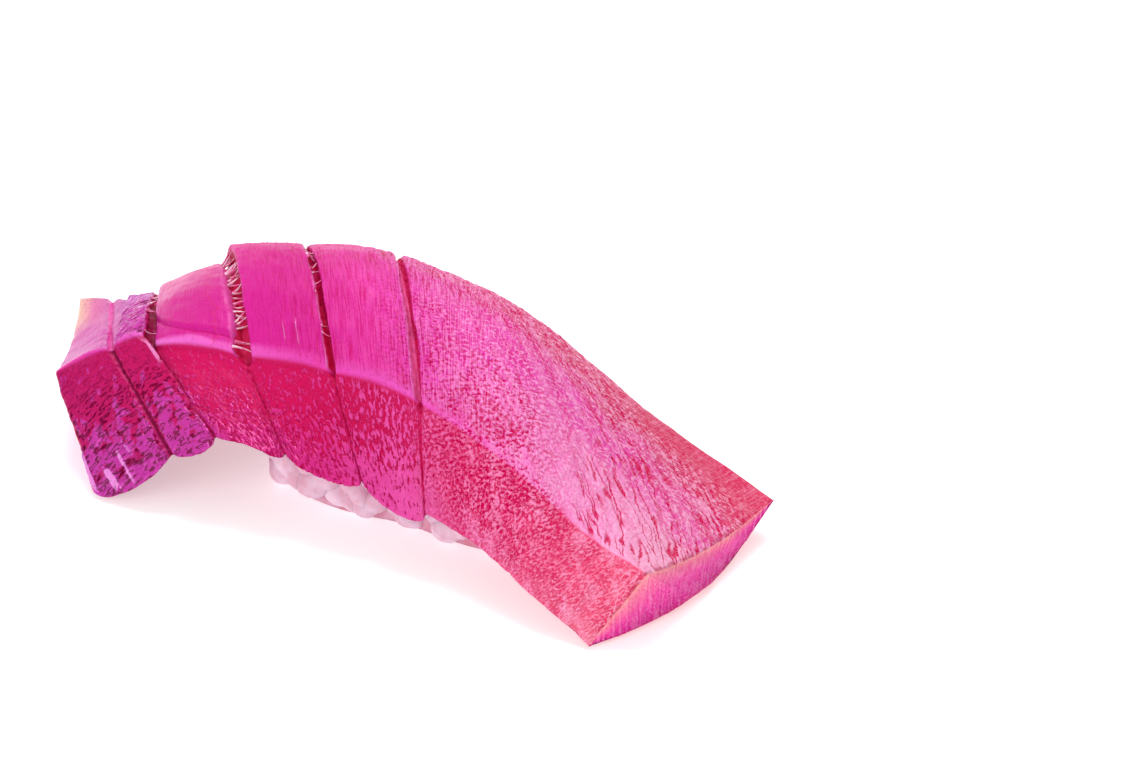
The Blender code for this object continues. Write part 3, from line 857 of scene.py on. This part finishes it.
def fibre_map(places, along, across):
    """Coordinates along and across the muscle fibres, whose direction turns along the slice."""
    turn = np.radians(np.interp(places, FIBRE_PLACES, FIBRE_TURNS))
    step = np.diff(along, prepend=along[0])
    down = np.cumsum(np.cos(turn) * step)[:, None] + across * np.sin(turn)[:, None]
    aside = across * np.cos(turn)[:, None] - np.cumsum(np.sin(turn) * step)[:, None]
    return down, aside


def stitch(first, second, faces, flipped):
    """Fills the strip between two rows of vertices that share both ends, whatever their numbers."""
    i = j = 0
    while i < len(first) - 1 or j < len(second) - 1:
        step_first = (i + 1) / (len(first) - 1) <= (j + 1) / (len(second) - 1)
        if j == len(second) - 1 or (step_first and i < len(first) - 1):
            corners = [first[i], second[j], first[i + 1]]
            i += 1
        else:
            corners = [first[i], second[j], second[j + 1]]
            j += 1
        if len(set(corners)) == 3:
            faces.append(corners[::-1] if flipped else corners)


def resample(chain, count):
    """The same path as count points at even spacing."""
    walked = np.concatenate([[0], np.cumsum(np.linalg.norm(np.diff(chain, axis=0), axis=1))])
    even = np.linspace(0, walked[-1], count)
    return np.stack([np.interp(even, walked, chain[:, axis]) for axis in range(3)], axis=1)


Skin = namedtuple("Skin", "places upper gap from_ridge")
COLUMN_PLACES = slice_places()
SKIN = Skin(COLUMN_PLACES, *upper_sheet(COLUMN_PLACES))


def skin_fields(skin, ring):
    """What the points of the rings carry: for each name a grid, with one row for each ring."""
    grid = np.ones(ring.shape[:2])
    address = np.concatenate([np.linspace(side, side + 1, steps, endpoint=False)
                              for side, steps in enumerate(ROUND_STEPS)])
    across = walk_across(ring, SIDE_STEPS)
    across[:, :OVER + 1] = skin.from_ridge
    middle = ring[:, SIDE_STEPS + TOP_STEPS // 3]
    along = np.cumsum(np.linalg.norm(np.diff(middle, axis=0, prepend=middle[:1]), axis=1))
    down, aside = fibre_map(skin.places, along, across)
    gap = NO_GAP * grid
    gap[:, :OVER + 1] = skin.gap
    return {"place": skin.places[:, None] * grid, "round": address * grid, "gap": gap, "end": 0 * grid,
            "along": along[:, None] * grid, "across": across, "down": down, "aside": aside}


def end_rows(ring, fields, column):
    """The rows of inner points that close one end of the skin, each with what its points carry."""
    above = ring[column, :OVER + 1]
    below = resample(np.concatenate([ring[column, :1], ring[column, OVER:][::-1]]), OVER + 1)
    for row in range(1, END_ROWS):
        share = row / END_ROWS
        inner = (above * (1 - share) + below * share)[1:-1]
        carried = {label: values[column, 1:OVER].copy() for label, values in fields.items()}
        carried["gap"][:] = NO_GAP
        carried["end"][:] = share
        carried["along"] += np.linalg.norm(inner - above[1:-1], axis=1)
        yield inner, carried


def slice_base(skin):
    """The slab's skin as an object, whose vertices carry place, round, gap, end, flow and fibre."""
    ring = np.concatenate([skin.upper, lower_sheet(skin.places, skin.upper)[:, -2:0:-1]], axis=1)
    fields = skin_fields(skin, ring)
    number = np.arange(ring[..., 0].size).reshape(ring.shape[:2])
    beside = np.roll(number, -1, axis=1)
    faces = np.stack([number[:-1], number[1:], beside[1:], beside[:-1]], axis=2).reshape(-1, 4).tolist()
    points = [ring.reshape(-1, 3)]
    facts = {label: [values.ravel()] for label, values in fields.items()}
    count = number.size
    for column, flipped in ((0, True), (len(number) - 1, False)):
        rows = [list(number[column, :OVER + 1])]
        for inner, carried in end_rows(ring, fields, column):
            rows.append([rows[0][0], *range(count, count + len(inner)), rows[0][-1]])
            count += len(inner)
            points.append(inner)
            for label, values in carried.items():
                facts[label].append(values)
        rows.append([number[column, 0], *number[column, OVER:][::-1]])
        for first, second in zip(rows, rows[1:]):
            stitch(first, second, faces, flipped)
    facts = {label: np.concatenate(parts) for label, parts in facts.items()}
    made = mesh_object("slice", (np.concatenate(points) + ORIGIN_SHIFT) * MM, faces)
    store(made, "flow", np.stack([facts["along"], facts["across"], 0 * facts["end"]], axis=1))
    store(made, "fibre", np.stack([facts["down"], facts["aside"], 0 * facts["end"]], axis=1))
    for label in ("place", "round", "gap", "end"):
        store(made, label, facts[label])
    return made


# %% [markdown]
# ## The slice: relief
# Cut tuna isn't smooth. The knife leaves streaks across the top, fat melts into small pits, long muscle
# fibres lift at the near end, and the slanted side is pebbled. Sculpting this would take hours, and a
# bump map alone would leave the outline smooth. So a Geometry Nodes tree first rounds the cut edges with
# Blur Attribute, then moves each point along its normal by a sum of noises, each with its own region.

# %% Relief tree
SHARP_ANGLES = (0.15, 0.5)
SWELL_SIZE = 7.0
TORN_SIZE = 0.7


def named(tree, label, kind="FLOAT"):
    """Reads what the mesh carries under a name, in a Geometry Nodes tree."""
    node = put(tree, "GeometryNodeInputNamedAttribute", {"Name": label}, data_type=kind)
    output = node.outputs["Attribute"]
    return Number(output) if kind == "FLOAT" else output


def soften_edges(tree, geometry):
    """Rounds what is sharp: points near edges with a large angle move to their neighbours' average."""
    sharp = Number(put(tree, "GeometryNodeInputMeshEdgeAngle").outputs[0]).rise(*SHARP_ANGLES)
    spread = put(tree, "GeometryNodeBlurAttribute", {"Value": sharp, "Iterations": 2, "Weight": 1.0})
    weight = calc("MULTIPLY", spread.outputs[0], 3.0, clamp=True)
    averaged = put(tree, "GeometryNodeBlurAttribute",
                   {"Value": own_place(tree), "Iterations": 3, "Weight": weight}, data_type="FLOAT_VECTOR")
    return move_to(geometry, averaged.outputs[0])


def relief_tree():
    tree, entry = new_tree("slice relief", "Groove depth", "Patch height", "Streak height", "Tongue height",
                           "Swell", "Material")
    geometry = soften_edges(tree, entry["Geometry"])
    facts = skin_facts(tree, named)
    groove, raised, streaks = flesh_pattern(facts)
    broad = (noise(facts.flow, SWELL_SIZE, shift=51.0) - 0.5) * facts.round.rise(2.4, 2.0)
    torn = noise(facts.flow, TORN_SIZE, (0.6, 1, 1), detail=3.0, shift=61.0) - 0.5
    torn = torn * calc("ABSOLUTE", facts.gap).rise(1.1, 0.7)
    tongue, crease = tongue_pattern(facts)
    total = raised * entry["Patch height"] - groove * entry["Groove depth"]
    total = total + streaks * entry["Streak height"] + tongue * entry["Tongue height"]
    total = total + (broad + torn) * entry["Swell"]
    return end_tree(tree, push_out(geometry, total, LOWEST_SKIN), entry["Material"])


LOWEST_SKIN = 0.1 * MM
RELIEF = {"Groove depth": 0.1 * MM, "Patch height": 0.1 * MM, "Streak height": 0.05 * MM,
          "Tongue height": 0.4 * MM, "Swell": 0.9 * MM, "Material": FLESH}

flesh = grow(slice_base(SKIN), relief_tree(), RELIEF, "tuna_flesh")
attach(flesh, "root")
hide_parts("tuna_slice")

# %% [markdown]
# ## Torn strands in the scores
# Where the knife opened the two widest scores, thin sheets of muscle tore and now span the gap: pale
# threads in the upper part, small pointed flaps lower down. Each is a short sagging curve from one lip to
# the other wall. A node tree gives the curves their thickness, which tapers along each.

# %% Strands
Torn = namedtuple("Torn", "score start end count thickness sag seed")
TORN = (Torn(2, 0.02, 0.3, 9, 0.2, 0.4, 1), Torn(2, 0.25, 0.98, 24, 0.28, 0.5, 2),
        Torn(3, 0.62, 0.99, 14, 0.2, 0.3, 3), Torn(3, 0.05, 0.65, 7, 0.1, 0.3, 4),
        Torn(1, 0.05, 0.9, 12, 0.14, 0.2, 5))
STRAND_POINTS = 7
STRAND_SIDES = 8
STRAND_ROWS_ASIDE = 4
# Where strands start and end in a score, as gaps, and by how much they differ in sag, bend and width.
STRAND_STARTS = (0.8, 1.0)
STRAND_ENDS = (0.0, 0.95)
STRAND_SAGS = (-0.2, 1)
STRAND_BENDS = (-0.4, 0.4)
STRAND_WIDTHS = (0.5, 1.3)
STRAND_TAPER = 1.4
THINNEST = 0.05
STRAND_COLOUR = tint(236, 110, 170)
STRAND_PALE = tint(255, 214, 232)


def one_strand(torn, columns, draw):
    """A strand's points, from a score's lip to its other wall, and its thickness at each."""
    row = SIDE_STEPS + int(TOP_STEPS * draw.uniform(torn.start, torn.end))
    other = row + draw.integers(-STRAND_ROWS_ASIDE, STRAND_ROWS_ASIDE + 1)
    other = int(np.clip(other, SIDE_STEPS, OVER))
    first = columns[np.argmin(np.abs(SKIN.gap[columns, row] + draw.uniform(*STRAND_STARTS)))]
    last = columns[np.argmin(np.abs(SKIN.gap[columns, other] - draw.uniform(*STRAND_ENDS)))]
    share = np.linspace(0, 1, STRAND_POINTS)
    line = SKIN.upper[first, row] * (1 - share)[:, None] + SKIN.upper[last, other] * share[:, None]
    line[:, 2] -= arch(share) * torn.sag * draw.uniform(*STRAND_SAGS)
    line[:, 1] += arch(share) * draw.uniform(*STRAND_BENDS)
    wide = torn.thickness * draw.uniform(*STRAND_WIDTHS)
    return line, THINNEST + (wide - THINNEST) * (1 - share) ** STRAND_TAPER


def torn_strands():
    """Base curves of the strands as bare edges, with a thickness at each point."""
    points, edges, thickness = [], [], []
    for torn in TORN:
        draw = np.random.default_rng(torn.seed)
        score = SCORES[torn.score]
        columns = np.flatnonzero(np.abs(SKIN.places - score.place) * PLACE_LENGTH < score.width)
        for _ in range(torn.count):
            line, widths = one_strand(torn, columns, draw)
            number = len(points)
            edges.extend((number + k, number + k + 1) for k in range(STRAND_POINTS - 1))
            points.extend(line)
            thickness.extend(widths)
    made = mesh_object("strand curves", (np.array(points) + ORIGIN_SHIFT) * MM, [], edges)
    store(made, "thickness", np.array(thickness) * MM)
    return made


def strand_tree():
    tree, entry = new_tree("torn strands", "Thickness", "Material")
    curve = put(tree, "GeometryNodeMeshToCurve", {"Mesh": entry["Geometry"]})
    circle = put(tree, "GeometryNodeCurvePrimitiveCircle", {"Resolution": STRAND_SIDES, "Radius": 1.0})
    radius = named(tree, "thickness") * entry["Thickness"]
    tube = put(tree, "GeometryNodeCurveToMesh",
               {"Curve": curve.outputs[0], "Profile Curve": circle.outputs[0], "Scale": radius,
                "Fill Caps": True})
    return end_tree(tree, tube.outputs[0], entry["Material"])


def strand_material():
    made, shader = new_material("torn strands")
    place = put(made.node_tree, "ShaderNodeTexCoord").outputs["Object"]
    mottled = noise(place, 1.2 * MM).rise(0.4, 0.6)
    fill(shader, {"Base Color": blend(mottled, STRAND_COLOUR, STRAND_PALE), "Roughness": 0.35,
                  "Specular Tint": SPECULAR_TINT, "Subsurface Weight": 0.3,
                  "Subsurface Radius": SCATTER, "Subsurface Scale": 0.6 * MM})
    return made


STRANDS = {"Thickness": 1.0, "Material": strand_material()}
strands = grow(torn_strands(), strand_tree(), STRANDS, "torn_strands")
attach(strands, "root")

# %% [markdown]
# ## Rice: core and grains
# A ball of sushi rice is pressed by hand, so its grains touch and stick but keep their shape. Only the
# outer ones can be seen. A lumpy core fills the middle, and whole grains lie on its side at random tilts,
# part sunk in. Each grain is one blunt spindle, placed by an instancing tree and then bent a little by
# noise, so that no two look alike.

# %% Rice: sizes
RICE_MIDDLE = (0.4, -0.5)
RICE_HALF_LENGTH = 19.8
RICE_HALF_WIDTH = 10.6
RICE_HEIGHT = 14.5
RICE_SQUARENESS = 3.4
RICE_UNEVENNESS = 0.07
RICE_LUMPS = 3
RICE_LUMP_TURN = math.radians(-130)
RICE_SIDE_ROUND = 3.2
CLEARANCE = 0.35
ROOM_STEP = 1
FOOT_TUCK = 0.05
OUTLINE_SAMPLES = 721
CORE_SIDES = 44
CORE_RINGS = (0.3, 0.55, 0.75, 0.88)
SMALLEST_RING = 0.02
CORE_BANDS = 4
CORE_FINENESS = 4
GRAIN_LENGTH = 7
GRAIN_WIDTH = 3.4
GRAIN_TIP = 0.8
GRAIN_ROWS = 4
GRAIN_SPACING = 4.1
GRAIN_SHIFT = 0.2
GRAIN_SIZES = (0.86, 1.08)
GRAIN_TILT = 0.35
GRAIN_SINKING = (-0.12, 0.36)
GRAIN_LIFT = 0.1
GRAIN_SEED = 7


def rice_outline():
    """The rice's plan round its middle: a rounded oblong with shallow lumps, in evenly spaced points."""
    power = 2 / RICE_SQUARENESS
    angles = np.linspace(0, 2 * math.pi, OUTLINE_SAMPLES)
    turned = np.stack([np.cos(angles), np.sin(angles)], axis=1)
    oblong = np.sign(turned) * np.abs(turned) ** power * (RICE_HALF_LENGTH, RICE_HALF_WIDTH)
    facing = np.arctan2(oblong[:, 1], oblong[:, 0])
    oblong *= (1 + RICE_UNEVENNESS * np.cos(RICE_LUMPS * (facing - RICE_LUMP_TURN)))[:, None]
    walked = np.concatenate([[0], np.cumsum(np.linalg.norm(np.diff(oblong, axis=0), axis=1))])
    even = np.linspace(0, walked[-1], CORE_SIDES + 1)[:-1]
    return np.stack([np.interp(even, walked, oblong[:, axis]) for axis in (0, 1)], axis=1)


def room_below(skin, x, y):
    """How high the rice may reach at a place: below the slice's underside there and just round it."""
    room = RICE_HEIGHT
    for step_x in (-ROOM_STEP, 0, ROOM_STEP):
        for step_y in (-ROOM_STEP, 0, ROOM_STEP):
            hit = skin.ray_cast(Vector((x + step_x, y + step_y, 0.01)) * MM, Vector((0, 0, 1)))[0]
            if hit is not None:
                room = min(room, hit.z / MM - CLEARANCE)
    return room


def core_rows(skin):
    """Rows of points of the bare rice: up the rounded side, then over the top to the last ring."""
    outline = rice_outline()
    middle = np.array(RICE_MIDDLE) + ORIGIN_SHIFT[:2]
    shares = []
    for band_number in range(CORE_BANDS + 1):
        climb = band_number / CORE_BANDS
        rounding = (1 - climb ** RICE_SIDE_ROUND) ** (1 / RICE_SIDE_ROUND)
        share = CORE_RINGS[-1] + (1 - CORE_RINGS[-1]) * rounding - FOOT_TUCK * (1 - climb) ** 3
        shares.append((climb, share))
    shares += [(1, share) for share in reversed(CORE_RINGS[:-1])] + [(1, SMALLEST_RING)]
    return [[(x, y, climb * room_below(skin, x, y)) for x, y in middle + outline * share]
            for climb, share in shares]


def refine(rows):
    """The same surface with more rows and more points in each, on smooth curves through the old ones."""
    rows = np.array(rows)
    fine = np.linspace(0, len(rows) - 1, (len(rows) - 1) * CORE_FINENESS + 1)
    rows = np.stack([smooth_curve(rows[:, side], fine) for side in range(rows.shape[1])], axis=1)
    looped = np.concatenate([rows[:, -2:], rows, rows[:, :3]], axis=1)
    fine = np.linspace(2, 2 + rows.shape[1], rows.shape[1] * CORE_FINENESS + 1)[:-1]
    return np.stack([smooth_curve(row, fine) for row in looped])


def rice_core_base(rows):
    fine = refine(rows)
    fine[..., 2] = np.maximum(fine[..., 2], 0)
    bands, around = fine.shape[:2]
    number = np.arange(bands * around).reshape(bands, around)
    beside = np.roll(number, -1, axis=1)
    faces = np.stack([number[:-1], beside[:-1], beside[1:], number[1:]], axis=2).reshape(-1, 4).tolist()
    faces.append(number[0][::-1].tolist())
    faces.append(number[-1].tolist())
    return mesh_object("core", fine.reshape(-1, 3) * MM, faces)


# %% Where the grains lie
def grain_places(rows, draw):
    """Rows of grains up the core's side, spaced evenly round it, a little uneven."""
    rows = [[Vector(point) for point in row] for row in rows]
    places = []
    for level in range(GRAIN_ROWS):
        height = (level + 0.5) / GRAIN_ROWS * CORE_BANDS
        low, part = int(height), height % 1
        ring = [a.lerp(b, part) for a, b in zip(rows[low], rows[min(low + 1, CORE_BANDS)])]
        round_length = sum((a - b).length for a, b in zip(ring, ring[1:] + ring[:1]))
        count = int(round_length / GRAIN_SPACING)
        for number in range(count):
            turn = (number + 0.5 * (level % 2) + draw.uniform(-GRAIN_SHIFT, GRAIN_SHIFT)) / count % 1
            spot = turn * CORE_SIDES
            index = int(spot) % CORE_SIDES
            ahead = ring[(index + 1) % CORE_SIDES]
            outward = (ahead - ring[index]).cross(Vector((0, 0, 1))).normalized()
            places.append((ring[index].lerp(ahead, spot % 1), outward))
    return places


def set_grain(point, outward, draw):
    """A grain's place, turn and size: laid against the side at a random tilt, part sunk in."""
    leaning = [draw.uniform(-GRAIN_TILT, GRAIN_TILT) for _ in range(2)]
    tilt = Euler((*leaning, draw.uniform(0, math.pi)))
    turn = outward.to_track_quat("Z", "Y").to_matrix() @ tilt.to_matrix()
    size = draw.uniform(*GRAIN_SIZES)
    place = point - outward * GRAIN_WIDTH * draw.uniform(*GRAIN_SINKING)
    half = Vector((GRAIN_LENGTH, GRAIN_WIDTH, GRAIN_WIDTH)) * size / 2
    reach = math.sqrt(sum((turn[2][axis] * half[axis]) ** 2 for axis in range(3)))
    place.z += max(0, GRAIN_LIFT - (place.z - reach))
    return place, turn, size


def clear_of(skin, place, turn, size):
    """True where the grain's tips and sides keep their clearance to the slice and lie below it."""
    if skin.ray_cast(place * MM, Vector((0, 0, -1)))[0] is not None:
        return False
    half = GRAIN_WIDTH * size / 2
    blunt = half * GRAIN_TIP
    tip = turn @ Vector((GRAIN_LENGTH * size / 2 - blunt, 0, 0))
    for spot, reach in ((place, half), (place + tip, blunt), (place - tip, blunt)):
        if skin.find_nearest(spot * MM)[3] < (reach + CLEARANCE) * MM:
            return False
    return True


def grain_points(skin, rows):
    draw = random.Random(GRAIN_SEED)
    kept = []
    for point, outward in grain_places(rows, draw):
        grain = set_grain(point, outward, draw)
        if clear_of(skin, *grain):
            kept.append(grain)
    made = mesh_object("grain places", [place * MM for place, turn, size in kept], [])
    store(made, "turn", [turn.to_euler()[:] for place, turn, size in kept])
    store(made, "size", [size for place, turn, size in kept])
    print(len(kept), "grains of rice")
    return made


# %% Rice: node trees
CORE_LUMP_LEVEL = 0.35
GRAIN_UNEVENNESS_SIZE = 3 * MM
GRAIN_FULLNESS = 0.24
GRAIN_SEGMENTS = 20
GRAIN_RINGS = 16


def one_grain(tree, length, width):
    """A blunt spindle along X, fuller than a ball stretched to the same size."""
    ball = put(tree, "GeometryNodeMeshUVSphere",
               {"Segments": GRAIN_SEGMENTS, "Rings": GRAIN_RINGS, "Radius": 0.5})
    turned = put(tree, "GeometryNodeTransform",
                 {"Geometry": ball.outputs[0], "Rotation": (0, math.pi / 2, 0)})
    parts = put(tree, "ShaderNodeSeparateXYZ", {0: own_place(tree)}).outputs
    along, aside, up = (Number(part) for part in parts)
    share = calc("ABSOLUTE", along) * (2 * math.pi)
    thick = (calc("SINE", share) * GRAIN_FULLNESS + 1.0) * width
    shaped = put(tree, "ShaderNodeCombineXYZ", {0: along * length, 1: aside * thick, 2: up * thick})
    return move_to(turned.outputs[0], shaped.outputs[0])


def grain_tree():
    tree, entry = new_tree("rice grains", "Grain length", "Grain width", "Unevenness", "Material")
    points = put(tree, "GeometryNodeMeshToPoints", {"Mesh": entry["Geometry"]})
    grain = one_grain(tree, entry["Grain length"], entry["Grain width"])
    laid = put(tree, "GeometryNodeInstanceOnPoints", {
        "Points": points.outputs[0], "Instance": grain,
        "Rotation": named(tree, "turn", "FLOAT_VECTOR"), "Scale": named(tree, "size")})
    chance = put(tree, "FunctionNodeRandomValue", {"Seed": 3}, data_type="FLOAT").outputs[1]
    marked = put(tree, "GeometryNodeStoreNamedAttribute",
                 {"Geometry": laid.outputs[0], "Name": "chance", "Value": chance},
                 data_type="FLOAT", domain="INSTANCE")
    real = put(tree, "GeometryNodeRealizeInstances", {"Geometry": marked.outputs[0]})
    lumps = noise(own_place(tree), GRAIN_UNEVENNESS_SIZE) - 0.5
    return end_tree(tree, push_out(real.outputs[0], lumps * entry["Unevenness"], 0.0), entry["Material"])


def core_tree():
    tree, entry = new_tree("rice core", "Lump size", "Lump height", "Material")
    height = Number(put(tree, "ShaderNodeSeparateXYZ", {0: own_place(tree)}).outputs[2])
    scale = calc("DIVIDE", 1.0, entry["Lump size"])
    cells = put(tree, "ShaderNodeTexVoronoi", {"Vector": own_place(tree), "Scale": scale},
                feature="SMOOTH_F1")
    lumps = calc("SUBTRACT", CORE_LUMP_LEVEL, cells.outputs["Distance"]) * height.rise(0.0, 2 * MM)
    pushed = push_out(entry["Geometry"], lumps * entry["Lump height"], 0.0)
    return end_tree(tree, pushed, entry["Material"])


# %% Rice material
RICE_COLOUR = tint(224, 188, 210)
RICE_DEEP = tint(218, 168, 190)
# Painted shade: the darker pink of the core, which shows only in the gaps between grains.
RICE_GAP_SHADE = tint(210, 128, 156)
RICE_SPECK = tint(232, 160, 140)
RICE_PALE = tint(236, 210, 228)
RICE_SPECK_SIZE = 0.7 * MM
RICE_SPECK_STRENGTH = 0.4


def rice_material(name, first, second):
    """Boiled rice, each grain between two colours by its own chance number."""
    made, shader = new_material(name)
    place = put(made.node_tree, "ShaderNodeTexCoord").outputs["Object"]
    each = blend(attribute(made.node_tree, "chance"), first, second)
    colour = blend(noise(place, 2.5 * MM).rise(0.62, 0.36), each, RICE_DEEP)
    darker, paler = blend(0.4, colour, RICE_SPECK), blend(0.5, colour, RICE_PALE)
    colour, specks = speckled(place, colour, darker, paler, RICE_SPECK_SIZE, RICE_SPECK_STRENGTH)
    fill(shader, {"Base Color": colour, "Roughness": 0.42, "Specular IOR Level": 0.3,
                  "Subsurface Weight": 0.3, "Subsurface Radius": (1.0, 0.8, 0.85),
                  "Subsurface Scale": 0.8 * MM})
    return made


# %% Rice pieces
GRAIN_SETTINGS = {"Grain length": GRAIN_LENGTH * MM, "Grain width": GRAIN_WIDTH * MM,
                  "Unevenness": 0.3 * MM, "Material": rice_material("boiled rice", RICE_COLOUR, RICE_PALE)}
# The core shows only between the grains, and its darker colour is painted shade in those gaps.
CORE_SETTINGS = {"Lump size": 3.2 * MM, "Lump height": 0.8 * MM,
                 "Material": rice_material("boiled rice below", RICE_GAP_SHADE, RICE_DEEP)}

skin = BVHTree.FromObject(flesh, bpy.context.evaluated_depsgraph_get())
rows = core_rows(skin)
grains = grow(grain_points(skin, rows), grain_tree(), GRAIN_SETTINGS, "rice_grains")
core = grow(rice_core_base(rows), core_tree(), CORE_SETTINGS, "rice_core")
for piece in (core, grains):
    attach(piece, "root")
    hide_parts("rice")

# %% [markdown]
# ## Stage and light
# A plain pale floor and two large soft lights keep the colours of the food true. The floor glows a
# little, so that it looks white and throws light back on the slice's side.

# %% Floor, lights and world
FLOOR_HALF = 2.0
FLOOR_COLOUR = (0.85, 0.85, 0.85, 1)
FLOOR_GLOW = 0.42
WHITE = (1, 1, 1, 1)
WORLD_STRENGTH = 0.6
LIGHTS = {"key": {"place": (-0.12, 0.2, 0.5), "size": (0.25, 0.25), "power": 2.0},
          "side": {"place": (-0.1, -0.5, 0.25), "size": (0.4, 0.3), "power": 1.08}}
LIGHTS_AIM = Vector((0, 0, 0.01))


def make_floor():
    corners = [(x * FLOOR_HALF, y * FLOOR_HALF, 0) for x, y in ((-1, -1), (1, -1), (1, 1), (-1, 1))]
    floor = mesh_object("floor", corners, [(0, 1, 2, 3)])
    paper, shader = new_material("floor paper")
    fill(shader, {"Base Color": FLOOR_COLOUR, "Emission Color": WHITE, "Emission Strength": FLOOR_GLOW,
                  "Roughness": 0.9, "Specular IOR Level": 0.1})
    floor.data.materials.append(paper)


def make_light(name, place, size, power):
    data = bpy.data.lights.new(name, "AREA")
    data.shape = "RECTANGLE"
    data.size, data.size_y = size
    data.energy = power
    made = shown(name, data)
    made.location = place
    made.rotation_euler = (LIGHTS_AIM - Vector(place)).to_track_quat("-Z", "Y").to_euler()


make_floor()
for name, settings in LIGHTS.items():
    make_light(name, **settings)
scene.world = bpy.data.worlds.new("studio")
scene.world.use_nodes = True
fill(scene.world.node_tree.nodes["Background"], {"Color": WHITE, "Strength": WORLD_STRENGTH})
scene.view_settings.view_transform = "Standard"
